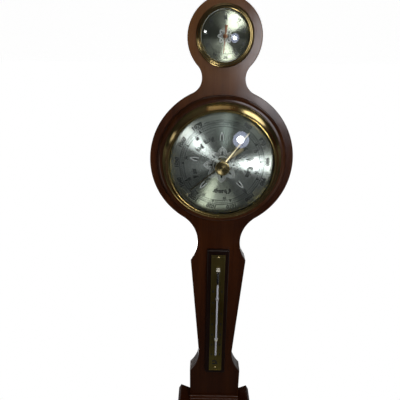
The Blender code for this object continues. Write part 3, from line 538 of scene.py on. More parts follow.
def tube_mesh(name, path, radius, sides=10, closed=False, caps=True):
    """Round wire along points (x, z, h) in mm; radius may be one number or one per point."""
    pts = [Vector((x * MM, -h * MM, z * MM)) for x, z, h in path]
    n = len(pts)
    verts, faces = [], []
    prev = None
    for i, p in enumerate(pts):
        if closed:
            d = (pts[(i + 1) % n] - pts[i - 1]).normalized()
        else:
            d = (pts[min(i + 1, n - 1)] - pts[max(i - 1, 0)]).normalized()
        ref = prev if prev is not None else (Vector((0, 1, 0)) if abs(d.y) < 0.9 else Vector((1, 0, 0)))
        u = (ref - d * ref.dot(d)).normalized()
        prev = u
        w = d.cross(u)
        r = (radius[i] if isinstance(radius, (list, tuple)) else radius) * MM
        for k in range(sides):
            a = 2 * pi * k / sides
            verts.append(p + u * (r * cos(a)) + w * (r * sin(a)))
    for i in range(n if closed else n - 1):
        j = (i + 1) % n
        for k in range(sides):
            k2 = (k + 1) % sides
            faces.append((i * sides + k, i * sides + k2, j * sides + k2, j * sides + k))
    if caps and not closed:
        faces.append(tuple(range(sides)))
        faces.append(tuple((n - 1) * sides + k for k in reversed(range(sides))))
    me = bpy.data.meshes.new(name)
    me.from_pydata([tuple(v) for v in verts], [], faces)
    finish_mesh(me, 40)
    return me


def join_meshes(name, meshes, angle=None):
    """One mesh from several, which are then removed."""
    bm = bmesh.new()
    for me in meshes:
        bm.from_mesh(me)
    out = bpy.data.meshes.new(name)
    bm.to_mesh(out)
    bm.free()
    for me in meshes:
        bpy.data.meshes.remove(me)
    if angle is not None:
        out.shade_smooth()
        out.set_sharp_from_angle(angle=radians(angle))
    return out


def boolean(me, cutters, op="DIFFERENCE"):
    """me with the cutter meshes taken away."""
    ob = bpy.data.objects.new("bool_tmp", me)
    scene.collection.objects.link(ob)
    extra = []
    for c in cutters:
        co = bpy.data.objects.new("cut_tmp", c)
        scene.collection.objects.link(co)
        extra.append(co)
        md = ob.modifiers.new("cut", "BOOLEAN")
        md.operation = op
        md.object = co
        md.solver = "EXACT"
    bpy.context.view_layer.update()
    out = bpy.data.meshes.new_from_object(ob.evaluated_get(bpy.context.evaluated_depsgraph_get()))
    for o in [ob] + extra:
        bpy.data.objects.remove(o, do_unlink=True)
    out.materials.clear()
    finish_mesh(out)
    return out


def lathe_cutter(r, h0, h1, x=0.0, z=0.0, n=24):
    me = lathe_mesh("cutter", [(0, h0), (r, h0), (r, h1), (0, h1)], n)
    me.transform(Matrix.Translation((x * MM, 0, z * MM)))
    return me


# ================================ case ==========================================================
def roof_under(x):
    return ROOF_TIP_Z + (ROOF_TIP_X - abs(x)) * tan(ROOF_SLOPE)


def board_outline(k=4):
    nz = ((DISC_R + NECK_R) ** 2 - (LOBE_R + NECK_R) ** 2 - DISC_Z ** 2 + LOBE_Z ** 2) / (2 * (LOBE_Z - DISC_Z))
    nx = sqrt((LOBE_R + NECK_R) ** 2 - (nz - LOBE_Z) ** 2)
    a_lobe, a_disc = atan2(nz - LOBE_Z, nx), atan2(nz - DISC_Z, nx)
    pts = arc(0, LOBE_Z, LOBE_R, -pi / 2, a_lobe, 14 * k)
    pts += arc(nx, nz, NECK_R, pi + a_lobe, pi + a_disc, 6 * k)[1:]
    wx = WAIST_W + WAIST_R
    wz = DISC_Z + sqrt((DISC_R + WAIST_R) ** 2 - wx ** 2)
    a_waist = atan2(wz - DISC_Z, wx)
    pts += arc(0, DISC_Z, DISC_R, a_disc, a_waist, 20 * k)[1:]
    pts += arc(wx, wz, WAIST_R, a_waist + pi, pi, 8 * k)[1:]
    fx = WAIST_W + FLARE_R
    dz = sqrt(FLARE_R ** 2 - (fx - SHOULDER_W + 0.7) ** 2)
    a_end = pi - atan2(dz, fx - SHOULDER_W + 0.7)
    pts += arc(fx, wz, FLARE_R, pi, a_end, 6 * k)[1:]
    pts += [(SHOULDER_W, wz + dz + 1.6), (SHOULDER_W - 0.05, wz + dz + 3.6)]
    pts.append((TRUNK_TOP_W, TRUNK_TOP_Z))
    hx = TRUNK_TOP_W + HEAD_FILLET_R
    hz = sqrt(HEAD_FILLET_R ** 2 - (hx - HEAD_W) ** 2)
    pts += arc(hx, TRUNK_TOP_Z, HEAD_FILLET_R, pi, pi - atan2(hz, hx - HEAD_W), 7 * k)[1:]
    pts.append((HEAD_W, roof_under(HEAD_W) - GAP / cos(ROOF_SLOPE)))
    pts.append((0.0, roof_under(0.0) - GAP / cos(ROOF_SLOPE)))
    return pts + [(-x, y) for x, y in reversed(pts[1:-1])]


board_me = slab_mesh("board", [board_outline(), ring_points(DRUM_HOLE_R, 160),
                               ring_points(HYGRO_HOLE_R, 96, 0.0, HZ)], -BOARD_T, 0.0, bevel=0.9, segments=4)
PIN_Z = (118.0, 294.9)
cutters = [box_mesh("c1", -23.5, 23.5, HOOK_Z - 18, HOOK_Z + 7, -BOARD_T - 1, -BOARD_T + 3.5),
           box_mesh("c2", -6.0, 6.0, HOOK_Z - 16, HOOK_Z + 3.5, -BOARD_T + 2.0, -BOARD_T + 10.5)]
for sx in (-17.5, 17.5):
    cutters.append(lathe_cutter(1.6, -BOARD_T + 3.0, -BOARD_T + 11.6, sx, HOOK_Z - 5.5))
for a in (90, 210, 330):
    cutters.append(lathe_cutter(1.6, -6.6, 1.0, 56.3 * cos(radians(a)), 56.3 * sin(radians(a))))
for z in PIN_Z:
    cutters.append(lathe_cutter(0.95, -5.6, 1.0, 0, z))
board_me = boolean(board_me, cutters)
add("board", board_me, "board", "case", "case_board", weighted=True)

# turned ring under the bezel: a short upright fillet at its foot, a quarter round, a small bead at the top
ring_prof = [(RING_R, 0.3), (RING_R, 0.9)]
ring_prof += [(RING_R - (RING_R - 66.6) * (1 - cos(t)), 0.9 + (RING_H - 1.3) * sin(t))
              for t in [pi / 2 * i / 16 for i in range(17)]]
ring_prof += [(66.2, RING_H - 0.35), (65.9, RING_H), (DRUM_HOLE_R + 0.4, RING_H), (DRUM_HOLE_R, RING_H - 0.4),
              (DRUM_HOLE_R, 0.3)]
ring_me = lathe_mesh("wooden_ring", ring_prof, 192, closed=True)
ring_me = boolean(ring_me, [lathe_cutter(1.6, -1.0, 9.0, 56.3 * cos(radians(a)), 56.3 * sin(radians(a)))
                            for a in (90, 210, 330)])
add("wooden_ring", ring_me, "ring", "case", "dial_moulding", weighted=True)

# thermometer block: softened edges and a shallow chamfer round its face
blk = box_mesh("thermometer_back", -BLOCK_W / 2, BLOCK_W / 2, BLOCK_Z0, BLOCK_Z1, GAP, BLOCK_H, bevel=0.8, segments=3)
blk = boolean(blk, [lathe_cutter(0.95, -1.0, 7.5, 0, z) for z in PIN_Z])
add("thermometer_back", blk, "block", "case", "thermometer_block", weighted=True)

# roof boards
tipx, tipz = ROOF_TIP_X, ROOF_TIP_Z
topx, topz = tipx + ROOF_T * sin(ROOF_SLOPE), tipz + ROOF_T * cos(ROOF_SLOPE)
for side, s in (("right", 1), ("left", -1)):
    quad = [(GAP / 2, roof_under(GAP / 2)), (tipx, tipz), (topx, topz),
            (GAP / 2, topz + (topx - GAP / 2) * tan(ROOF_SLOPE))]
    quad = [(s * x, y) for x, y in quad]
    me = slab_mesh(f"roof_{side}", [quad if s > 0 else list(reversed(quad))], -BOARD_T, ROOF_OUT, bevel=0.8, segments=3)
    add(f"roof_{side}", me, "roof", "case", f"roof_board_{side}", weighted=True)

# stepped frieze under the roof: run as a moulding across the head
g2 = 2 * GAP / cos(ROOF_SLOPE)


def frieze_mesh():
    front_ = [(FRIEZE_Z, GAP), (FRIEZE_Z, FRIEZE_H1 - 0.9)]
    front_ += [(FRIEZE_Z + 0.9 * (1 - cos(t)), FRIEZE_H1 - 0.9 + 0.9 * sin(t)) for t in [pi / 2 * i / 5 for i in range(1, 6)]]
    front_ += [(FRIEZE_STEP_Z - 0.3, FRIEZE_H1), (FRIEZE_STEP_Z - 0.05, FRIEZE_H1 + 0.25),
               (FRIEZE_STEP_Z, FRIEZE_H2 - 0.6)]
    front_ += [(FRIEZE_STEP_Z + 0.6 * (1 - cos(t)), FRIEZE_H2 - 0.6 + 0.6 * sin(t)) for t in [pi / 2 * i / 4 for i in range(1, 5)]]
    xs = [-HEAD_W, 0.0, HEAD_W]
    verts, rows = [], []
    for x in xs:
        row = []
        top = roof_under(x) - g2
        for z, h in front_ + [(top, FRIEZE_H2), (top, GAP)]:
            row.append(len(verts))
            verts.append((x * MM, -h * MM, min(z, top) * MM))
        rows.append(row)
    faces = []
    n = len(rows[0])
    for a, b in zip(rows, rows[1:]):
        for j in range(n):
            faces.append((a[j], a[(j + 1) % n], b[(j + 1) % n], b[j]))
    faces += [tuple(rows[0]), tuple(reversed(rows[-1]))]
    me = bpy.data.meshes.new("frieze_moulding")
    me.from_pydata(verts, [], faces)
    finish_mesh(me, 35)
    return me


add("frieze_moulding", frieze_mesh(), "frieze", "case", "frieze", weighted=True)

# ================================ main dial, glass, bezel =======================================
add("dial_plate", lathe_mesh("dial_plate", rounded([(2.2, DIAL_H - DIAL_T), (2.2, DIAL_H), (DIAL_R, DIAL_H),
                                                    (DIAL_R, DIAL_H - DIAL_T)], 0.12, 2, closed=True), 192, closed=True),
    "dial", "case", "main_dial")

bez = [(BEZ_IN, 17.9), (BEZ_IN, 18.3), (BEZ_IN + 0.45, 18.75), (BEZ_IN + 0.95, BEZ_TOP), (BEZ_RIM, BEZ_TOP - 0.05),
       (BEZ_RIM + 0.42, 18.5), (BEZ_RIM + 0.62, 17.9), (BEZ_RIM + 1.3, 16.4), (BEZ_RIM + 2.3, 14.4), (BEZ_RIM + 3.6, 12.0),
       (BEZ_BASE - 2.1, 10.2), (BEZ_BASE - 1.5, 9.75), (BEZ_BASE - 1.45, 9.3), (BEZ_BASE - 0.5, 9.05),
       (BEZ_BASE, 8.5), (BEZ_BASE - 0.2, 7.8), (62.4, 7.8), (62.4, 8.9), (57.9, 17.2), (57.6, 17.9)]
bez = rounded(bez, [0, 0, 0.3, 0.4, 0.3, 0.3, 0, 0.8, 1.0, 1.2, 0.5, 0.1, 0.1, 0.3, 0.3, 0.1, 0, 0.2, 0.2, 0.1], 3, closed=True)
add("main_bezel_ring", lathe_mesh("main_bezel_ring", bez, 224, closed=True), "bezel", "case", "main_bezel")


def dome(r_edge, rise, h_edge, r_stop, n):
    R = (r_edge ** 2 + rise ** 2) / (2 * rise)
    out = []
    for i in range(n + 1):
        r = r_stop + (r_edge - r_stop) * i / n
        out.append((r, h_edge + sqrt(R * R - r * r) - (R - rise)))
    return out


g_out, g_in = dome(GLASS_R, GLASS_RISE, 17.6, 3.4, 24), dome(GLASS_R, GLASS_RISE, 17.6 - GLASS_T, 3.4, 24)
add("main_glass_dome", lathe_mesh("main_glass_dome", g_out + list(reversed(g_in)), 160, closed=True, angle=50), "glass",
    "case", "main_glass")
add("glass_bush_ring", lathe_mesh("glass_bush_ring", rounded([(1.55, 25.2), (3.8, 25.2), (4.6, 24.5), (3.1, 24.5),
                                                              (3.1, 21.6), (1.55, 21.6)], 0.15, 2, closed=True), 64,
                                  closed=True), "bezel", "case", "glass_bush")

# knob: dished, spun face with a rolled rim and a milled edge
TEETH = 48
knob_prof = [(0, 30.0), (0.7, 29.96), (2.0, 29.92), (4.0, 29.95), (5.6, 30.1), (6.2, 30.19), (6.7, KNOB_TOP),
             (7.1, 30.12), (7.4, 29.9), (7.52, 29.6), (7.6, 29.3), (7.6, 27.5), (7.45, 27.1), (7.0, 26.8),
             (5.2, 26.45), (4.7, 26.2), (4.4, 25.9), (4.3, 25.6), (0, 25.6)]


def milled(i, j):
    return (0.05 if i % 4 in (0, 1) else -0.16) if 9 <= j <= 12 else 0.0


add("set_knob_head", lathe_mesh("set_knob_head", knob_prof, TEETH * 4, angle=28, ripple=milled), "knob", "set_pointer",
    "set_knob")


def hand_shape(length, tail, w_root, w_tip, w_tail, hub, n=40, flare=True):
    a = atan2(w_root / 2, hub)
    pts = [(w_tip / 2, length - 1.0), (w_tip / 5, length - 0.15), (0, length), (-w_tip / 5, length - 0.15), (-w_tip / 2, length - 1.0)]
    pts += arc(0, 0, hub, pi / 2 + a, 3 * pi / 2 - a, n)
    pts += [(-w_tail / 2, -tail + 0.1), (-w_tail / 2 + 0.2, -tail), (w_tail / 2 - 0.2, -tail), (w_tail / 2, -tail + 0.1)]
    pts += arc(0, 0, hub, -pi / 2 + a, pi / 2 - a, n)
    return pts


def hand_mesh(name, loops, h0, h1, degrees_cw, bevel=0.12, lean=0.0):
    me = slab_mesh(name, loops, h0, h1, bevel=bevel, segments=2)
    if lean:
        for v in me.vertices:
            v.co.y += lean * v.co.z
    me.transform(Matrix.Rotation(radians(degrees_cw), 4, "Y"))
    return me


add("indicator_blade", hand_mesh("indicator_blade", [hand_shape(HAND_L, HAND_TAIL, 1.5, 0.9, 4.6, 3.2),
                                                     ring_points(1.05, 32)], 15.5, 15.9, HAND_ANGLE),
    "indicator", "indicator", "indicator_hand")
add("set_hand_blade", hand_mesh("set_hand_blade", [hand_shape(SET_L, SET_TAIL, 1.8, 0.7, 2.6, 2.8)], 20.35, 20.85,
                                SET_ANGLE, lean=SET_LEAN), "set_hand", "set_pointer", "set_hand")

# ================================ hygrometer ====================================================
add("hygro_dial_plate", lathe_mesh("hygro_dial_plate", rounded([(1.0, 1.2), (1.0, 1.8), (23.4, 1.8), (23.4, 1.2)], 0.1, 2,
                                                               closed=True), 160, closed=True),
    "hyg_dial", "case", "hygro_dial", at=(0, HZ))
hb = [(HYG_IN, 4.1), (HYG_IN + 0.25, 4.42), (24.4, HYG_TOP), (25.2, 4.55), (25.5, 4.15), (26.0, 4.0), (26.5, 3.95),
      (26.9, 3.75), (27.5, 2.9), (27.75, 2.2), (27.8, 1.75), (28.3, 1.6), (HYG_BASE, 1.1), (HYG_BASE, 0.3), (25.9, 0.3),
      (25.9, 2.2), (25.1, 2.6), (25.1, 4.1)]
add("hygro_bezel_ring", lathe_mesh("hygro_bezel_ring", rounded(hb, [0, .15, .2, .2, .15, .15, .15, .2, .2, .15, .1, .2, .15,
                                                                    0, 0, 0, 0, 0], 3, closed=True), 160, closed=True),
    "hyg_bezel", "case", "hygro_bezel", at=(0, HZ))
h_out, h_in = dome(24.7, 3.0, 3.8, 0.0, 16), dome(24.7, 3.0, 2.7, 0.0, 16)
add("hygro_glass_dome", lathe_mesh("hygro_glass_dome", h_out + list(reversed(h_in)), 128, angle=50), "glass", "case",
    "hygro_glass", at=(0, HZ))
add("hygro_blade", hand_mesh("hygro_blade", [hand_shape(16.0, 9.7, 1.1, 0.6, 3.0, 2.0, 24), ring_points(0.95, 24)],
                             2.2, 2.5, HYG_ANGLE, bevel=0.08), "copper", "humidity_pointer", "hygro_pointer",
    at=(0, HZ))
add("hygro_boss", lathe_mesh("hygro_boss", [(0, 3.9), (0.5, 3.88), (1.0, 3.75), (1.35, 3.55), (1.6, 3.3), (1.7, 3.1),
                                            (1.65, 3.0), (0, 3.0)], 64), "copper", "humidity_pointer", "hygro_hub",
    at=(0, HZ))

# ================================ printing ======================================================
def spot(u0, v0, degrees_cw=0.0):
    """Straight lettering whose own (0, 0) is at (u0, v0), turned clockwise."""
    c, s = cos(radians(degrees_cw)), sin(radians(degrees_cw))
    return lambda u, v: (u0 + u * c + v * s, v0 - u * s + v * c)


def around(radius, degrees_cw, inward=False):
    """Lettering bent round the dial: its baseline on the circle, tops outward, or to the middle."""
    if inward:
        return lambda u, v: ((radius - v) * sin(radians(degrees_cw) - u / radius), (radius - v) * cos(radians(degrees_cw) - u / radius))
    return lambda u, v: ((radius + v) * sin(radians(degrees_cw) + u / radius), (radius + v) * cos(radians(degrees_cw) + u / radius))


FLATWAY = spot(0, 0)


class Print:
    """Thin shapes laid on a surface, all closed, gathered in one mesh."""

    def __init__(self, h0, h1):
        self.h0, self.h1, self.verts, self.faces = h0, h1, [], []

    def prism(self, left, right, closed=False):
        """A ribbon between two rows of points."""
        n, b = len(left), len(self.verts)
        for h in (self.h0, self.h1):
            for row in (left, right):
                self.verts += [(x * MM, -h * MM, z * MM) for x, z in row]
        L0, R0, L1, R1 = b, b + n, b + 2 * n, b + 3 * n
        for i in range(n if closed else n - 1):
            j = (i + 1) % n
            self.faces += [(L1 + i, R1 + i, R1 + j, L1 + j), (L0 + i, L0 + j, R0 + j, R0 + i),
                           (L0 + i, L1 + i, L1 + j, L0 + j), (R0 + i, R0 + j, R1 + j, R1 + i)]
        if not closed:
            self.faces += [(L0, R0, R1, L1), (L0 + n - 1, L1 + n - 1, R1 + n - 1, R0 + n - 1)]

    def line(self, pts, width, place=FLATWAY, closed=False, taper=None):
        n = len(pts)
        left, right = [], []
        for i, (x, y) in enumerate(pts):
            a = pts[i - 1] if (i or closed) else pts[i]
            b = pts[(i + 1) % n] if (i < n - 1 or closed) else pts[i]
            d1, d2 = (x - a[0], y - a[1]), (b[0] - x, b[1] - y)
            l1, l2 = hypot(*d1), hypot(*d2)
            t = (0.0, 0.0)
            if l1 > 1e-9:
                t = (t[0] + d1[0] / l1, t[1] + d1[1] / l1)
            if l2 > 1e-9:
                t = (t[0] + d2[0] / l2, t[1] + d2[1] / l2)
            lt = hypot(*t) or 1.0
            w = (width if taper is None else width * taper(i / max(1, n - 1))) / 2
            grow = min(1.6, 2.0 / lt) if (l1 > 1e-9 and l2 > 1e-9) else 1.0
            nx, ny = -t[1] / lt * w * grow, t[0] / lt * w * grow
            left.append(place(x + nx, y + ny))
            right.append(place(x - nx, y - ny))
        self.prism(left, right, closed)

    def nib(self, pts, size, width, place, x0=0.0, slope=42.0):
        """A stroke of a broad pen held at one angle."""
        dx, dy = cos(radians(slope)) * width / 2, sin(radians(slope)) * width / 2
        fine = []
        for (ax, ay), (bx, by) in zip(pts, pts[1:]):
            k = 3
            fine += [(ax + (bx - ax) * i / k, ay + (by - ay) * i / k) for i in range(k)]
        fine.append(pts[-1])
        P = [(x0 + x * size, y * size) for x, y in fine]
        # keep a hair of width where the stroke runs along the pen's edge
        left = [place(x - dx - 0.04, y - dy + 0.04) for x, y in P]
        right = [place(x + dx + 0.04, y + dy - 0.04) for x, y in P]
        self.prism(left, right)

    def patch(self, pts, place=FLATWAY):
        b, n = len(self.verts), len(pts)
        q = [place(*p) for p in pts]
        for h in (self.h0, self.h1):
            self.verts += [(x * MM, -h * MM, z * MM) for x, z in q]
        self.faces += [tuple(b + n + i for i in range(n)), tuple(b + i for i in reversed(range(n)))]
        self.faces += [(b + i, b + (i + 1) % n, b + n + (i + 1) % n, b + n + i) for i in range(n)]

    def text(self, words, cap, place, squeeze=1.0, weight=0.0, slant=0.0):
        """Plain figures and letters, centred on place's (0, 0) line; cap is their height."""
        cu = bpy.data.curves.new("letters", "FONT")
        cu.body = words
        cu.align_x = "CENTER"
        cu.resolution_u = 3
        cu.extrude = 0.01
        cu.offset = weight
        ob = bpy.data.objects.new("letters", cu)
        scene.collection.objects.link(ob)
        bpy.context.view_layer.update()
        me = bpy.data.meshes.new_from_object(ob.evaluated_get(bpy.context.evaluated_depsgraph_get()))
        bpy.data.objects.remove(ob, do_unlink=True)
        bpy.data.curves.remove(cu)
        k = cap / FIGURE_CAP
        b = len(self.verts)
        for v in me.vertices:
            u, w = v.co.x * k * squeeze + slant * v.co.y * k, v.co.y * k
            x, z = place(u, w)
            h = self.h1 if v.co.z > 0 else self.h0
            self.verts.append((x * MM, -h * MM, z * MM))
        self.faces += [tuple(b + i for i in p.vertices) for p in me.polygons]
        bpy.data.meshes.remove(me)

    def mesh(self, name):
        me = bpy.data.meshes.new(name)
        me.from_pydata(self.verts, [], self.faces)
        bm = bmesh.new()
        bm.from_mesh(me)
        bmesh.ops.remove_doubles(bm, verts=bm.verts, dist=0.0000005)
        bmesh.ops.recalc_face_normals(bm, faces=bm.faces)
        bm.to_mesh(me)
        bm.free()
        return me


FIGURE_CAP = 0.69                                   # height of a figure of the built-in letters

# pointed pen letters: strokes on a grid one lower-case letter high
PEN = {
    "C": (1.02, [[(0.88, 1.18), (0.66, 1.42), (0.34, 1.30), (0.12, 0.98), (0.12, 0.42), (0.34, 0.08), (0.62, 0.0), (0.90, 0.22)],
                 [(0.46, 1.12), (0.46, 0.30)], [(0.66, 1.42), (0.98, 1.34)]]),
    "F": (1.00, [[(0.98, 1.36), (0.66, 1.28), (0.34, 1.44), (0.06, 1.26)], [(0.42, 1.32), (0.42, 0.18), (0.26, 0.0), (0.02, 0.10)],
                 [(0.18, 0.74), (0.82, 0.78)], [(0.66, 1.24), (0.64, 0.82)]]),
    "V": (1.06, [[(0.0, 1.30), (0.16, 1.44), (0.24, 1.22), (0.22, 0.30), (0.46, 0.0), (0.84, 0.30), (0.92, 0.98), (0.66, 1.42)],
                 [(0.54, 1.10), (0.54, 0.36)]]),
    "D": (1.06, [[(0.0, 1.26), (0.20, 1.44), (0.70, 1.30), (0.96, 0.92), (0.92, 0.32), (0.54, 0.0), (0.10, 0.08)],
                 [(0.30, 1.30), (0.30, 0.10)], [(0.58, 1.14), (0.58, 0.26)]]),
    "R": (1.02, [[(0.28, 1.34), (0.28, 0.16), (0.06, 0.0)], [(0.0, 1.28), (0.30, 1.44), (0.74, 1.30), (0.76, 0.92), (0.34, 0.74)],
                 [(0.50, 0.74), (0.74, 0.18), (0.98, 0.04)]]),
    "S": (1.00, [[(0.90, 1.24), (0.60, 1.44), (0.22, 1.30), (0.16, 0.98), (0.74, 0.60), (0.84, 0.26), (0.50, 0.0), (0.08, 0.12)],
                 [(0.52, 1.20), (0.50, 0.30)]]),
    "a": (0.70, [[(0.08, 0.88), (0.30, 1.0), (0.50, 0.84), (0.50, 0.16), (0.64, 0.0)],
                 [(0.50, 0.56), (0.16, 0.46), (0.10, 0.16), (0.26, 0.0), (0.48, 0.16)]]),
    "e": (0.64, [[(0.54, 0.16), (0.32, 0.0), (0.12, 0.16), (0.12, 0.80), (0.32, 1.0), (0.52, 0.80), (0.16, 0.48)]]),
    "g": (0.68, [[(0.50, 0.86), (0.30, 1.0), (0.12, 0.84), (0.12, 0.18), (0.28, 0.0), (0.50, 0.18)],
                 [(0.42, 1.0), (0.54, 0.86), (0.54, -0.24), (0.34, -0.46), (0.08, -0.38)]]),
    "h": (0.70, [[(0.02, 1.42), (0.14, 1.30), (0.14, 0.14), (0.24, 0.0)], [(0.16, 0.82), (0.36, 1.0), (0.52, 0.82), (0.52, 0.10), (0.36, -0.22)]]),
    "n": (0.74, [[(0.02, 0.96), (0.14, 0.84), (0.14, 0.16), (0.24, 0.0)], [(0.16, 0.82), (0.38, 1.0), (0.52, 0.84), (0.52, 0.16), (0.64, 0.0)]]),
    "m": (1.12, [[(0.02, 0.96), (0.14, 0.84), (0.14, 0.16), (0.24, 0.0)], [(0.16, 0.82), (0.38, 1.0), (0.52, 0.84), (0.52, 0.16), (0.60, 0.02)],
                 [(0.54, 0.82), (0.76, 1.0), (0.90, 0.84), (0.90, 0.16), (1.02, 0.0)]]),
    "i": (0.36, [[(0.02, 0.96), (0.14, 0.84), (0.14, 0.16), (0.26, 0.0)], [(0.08, 1.36), (0.20, 1.26)]]),
    "r": (0.52, [[(0.02, 0.96), (0.14, 0.84), (0.14, 0.16), (0.24, 0.0)], [(0.16, 0.82), (0.34, 1.0), (0.48, 0.84)]]),
    "t": (0.48, [[(0.14, 1.30), (0.14, 0.16), (0.28, 0.0), (0.42, 0.10)], [(-0.04, 0.96), (0.38, 0.98)]]),
    "o": (0.66, [[(0.30, 1.0), (0.12, 0.82), (0.12, 0.18), (0.30, 0.0), (0.52, 0.18), (0.52, 0.82), (0.30, 1.0)]]),
    "y": (0.70, [[(0.02, 0.96), (0.12, 0.84), (0.12, 0.20), (0.28, 0.02), (0.50, 0.20)],
                 [(0.42, 1.0), (0.52, 0.86), (0.52, -0.12), (0.34, -0.42), (0.06, -0.44)]]),
    " ": (0.50, []),
}


TRACK = 1.20


def pen_word(pr, word, size, width, place):
    total = sum(PEN[c][0] for c in word) * size * TRACK
    x = -total / 2
    for c in word:
        adv, strokes = PEN[c]
        for st in strokes:
            pr.nib(st, size, width, place, x)
        x += adv * size * TRACK


# ---- main dial: the outer scale in millibars, the inner one in centimetres of mercury ------------
INK_H = (DIAL_H - 0.005, DIAL_H + 0.03)
pr = Print(*INK_H)


def mb_angle(mb):
    return MB_1015 + TEN_MB * (mb - 1015) / 10


def cm_angle(cm):
    return -6.3 + 35.7 * (cm - 76)


def polar(r, degrees_cw):
    return r * sin(radians(degrees_cw)), r * cos(radians(degrees_cw))


def ray(pr, degrees_cw, r0, r1, width):
    pr.line([(0, r0), (0, r1)], width, spot(0, 0, degrees_cw))


for r, w in ((45.9, 0.42), (45.2, 0.24), (43.3, 0.30), (41.0, 0.44)):
    pr.line(ring_points(r, 180), w, closed=True)
for i in range(-64, 65):
    a = mb_angle(1015 + i)
    ten = (1015 + i) % 10 == 0
    ray(pr, a, 43.3, 45.2 if not ten else 45.9, 0.62 if ten else (0.50 if i % 5 == 0 else 0.34))
    if ten:
        pr.patch([(-1.05, 41.1), (1.05, 41.1), (0.0, 44.6)], spot(0, 0, a))
for i in range(712, 808):
    a = cm_angle(i / 10)
    ray(pr, a, 41.0 if i % 5 else 40.4, 42.7, 0.56 if i % 10 == 0 else 0.32)
for i in range(12):
    pr.text(str(960 + 10 * i), 4.2, around(46.9, mb_angle(960 + 10 * i)), squeeze=0.92, weight=0.045, slant=0.12)
for n in range(72, 81):
    pr.text(str(n), 2.8, around(37.0, cm_angle(n)), squeeze=0.85, weight=0.06)
pr.text("millibars", 1.5, around(48.2, 159.5, True), squeeze=0.95, weight=0.03)
pr.text("millibars", 1.5, around(46.8, -161.5), squeeze=0.95, weight=0.01)
pr.text("cm mercury", 1.3, around(38.4, 159.0, True), squeeze=0.9, weight=0.008)
pr.text("A N E R O I D    B A R O M E T E R", 1.2, around(48.1, 180, True), squeeze=0.95, weight=0.03)
pen_word(pr, "Change", 3.6, 1.35, around(28.4, -1.2))
pen_word(pr, "Fair", 3.6, 1.35, around(28.4, 72.0))
pen_word(pr, "Rain", 3.6, 1.35, around(28.4, -75.5))
pen_word(pr, "Very Dry", 3.6, 1.35, around(32.0, 140.5, True))
pen_word(pr, "Stormy", 3.6, 1.35, around(32.0, -140.0, True))
# dark veins of the five leaves and small marks in the rosette
LEAVES = (-43.5, 41.5, 102.5, 178.5, -103.2)


def leaf_outline(r0, r1, w):
    """One side, the point and the other side; open towards the middle."""
    half = [(w / 2 * (1 - (i / 12) ** 2.4) ** 0.8, r0 + (r1 - r0) * i / 12) for i in range(13)]
    return half + [(-x, y) for x, y in reversed(half[:-1])]


for a in LEAVES:
    sp = spot(0, 0, a)
    pr.line([(0, 26.6 + 0.5 * i) for i in range(14)], 1.25, sp, taper=lambda t: 0.3 + 0.7 * sin(pi * t))
    for sx in (-1, 1):
        pr.line([(sx * 1.95 * (1 - (i / 12) ** 2.4) ** 0.8 + sx * 0.3, 26.3 + 9.0 * i / 12) for i in range(12)], 0.26, sp)
for k in range(8):
    sp = spot(0, 0, k * 45.0)
    pr.line([(0, 10.2 + 0.5 * i) for i in range(11)], 0.9, sp, taper=lambda t: 0.4 + 0.6 * sin(pi * t))
    pr.line([(-1.2, 11.8), (0, 13.2), (1.2, 11.8)], 0.5, sp)
    sp = spot(0, 0, k * 45.0 + 22.5)
    pr.patch([(0, 9.6), (0.5, 10.6), (0, 11.8), (-0.5, 10.6)], sp)
add("dial_scale_and_words", pr.mesh("dial_scale_and_words"), "ink", "case")

# white: leaf outlines and the lace rosette round the middle
pr = Print(DIAL_H - 0.005, DIAL_H + 0.025)
for a in LEAVES:
    pr.line(leaf_outline(26.3, 34.9, 3.5), 0.75, spot(0, 0, a))
add("dial_leaf_marks", pr.mesh("dial_leaf_marks"), "leaf", "case")
pr = Print(DIAL_H - 0.005, DIAL_H + 0.02)


def lobe(half_deg, r0, r1, k=14, power=1.0):
    out = []
    for i in range(2 * k + 1):
        s = (i - k) / k
        a = radians(half_deg * s)
        r = r0 + (r1 - r0) * (1 - abs(s) ** 1.35) ** power
        out.append((r * sin(a), r * cos(a)))
    return out


for k in range(8):
    sp = spot(0, 0, k * 45.0)
    sp2 = spot(0, 0, k * 45.0 + 22.5)
    pr.line(lobe(22.5, 12.4, 19.1, power=0.8), 0.61, sp)
    pr.line(lobe(18.0, 12.2, 17.6, power=0.85), 0.41, sp)
    pr.line(lobe(11.0, 11.6, 15.8), 0.41, sp)
    pr.line([(2.5 * sin(t) - 0.0, 14.0 + 1.7 * cos(t)) for t in [2 * pi * i / 18 for i in range(18)]], 0.41, sp, closed=True)
    pr.line([(1.25 * sin(t), 12.3 + 1.5 * cos(t)) for t in [2 * pi * i / 14 for i in range(14)]], 0.44, sp2, closed=True)
    for sx in (-1, 1):
        pr.line([(sx * 0.9, 16.3), (sx * 2.1, 15.6), (sx * 3.1, 14.2), (sx * 3.6, 12.6)], 0.41, sp)
        pr.line([(sx * 1.3, 10.6), (sx * 2.4, 11.4), (sx * 2.2, 12.8)], 0.41, sp)
    pr.line([(-0.5, 18.9), (0, 20.2), (0.5, 18.9)], 0.41, sp)
pr.line(ring_points(9.6, 72), 0.51, closed=True)
pr.line(ring_points(8.9, 72), 0.34, closed=True)
add("dial_lace_rosette", pr.mesh("dial_lace_rosette"), "lace", "case")

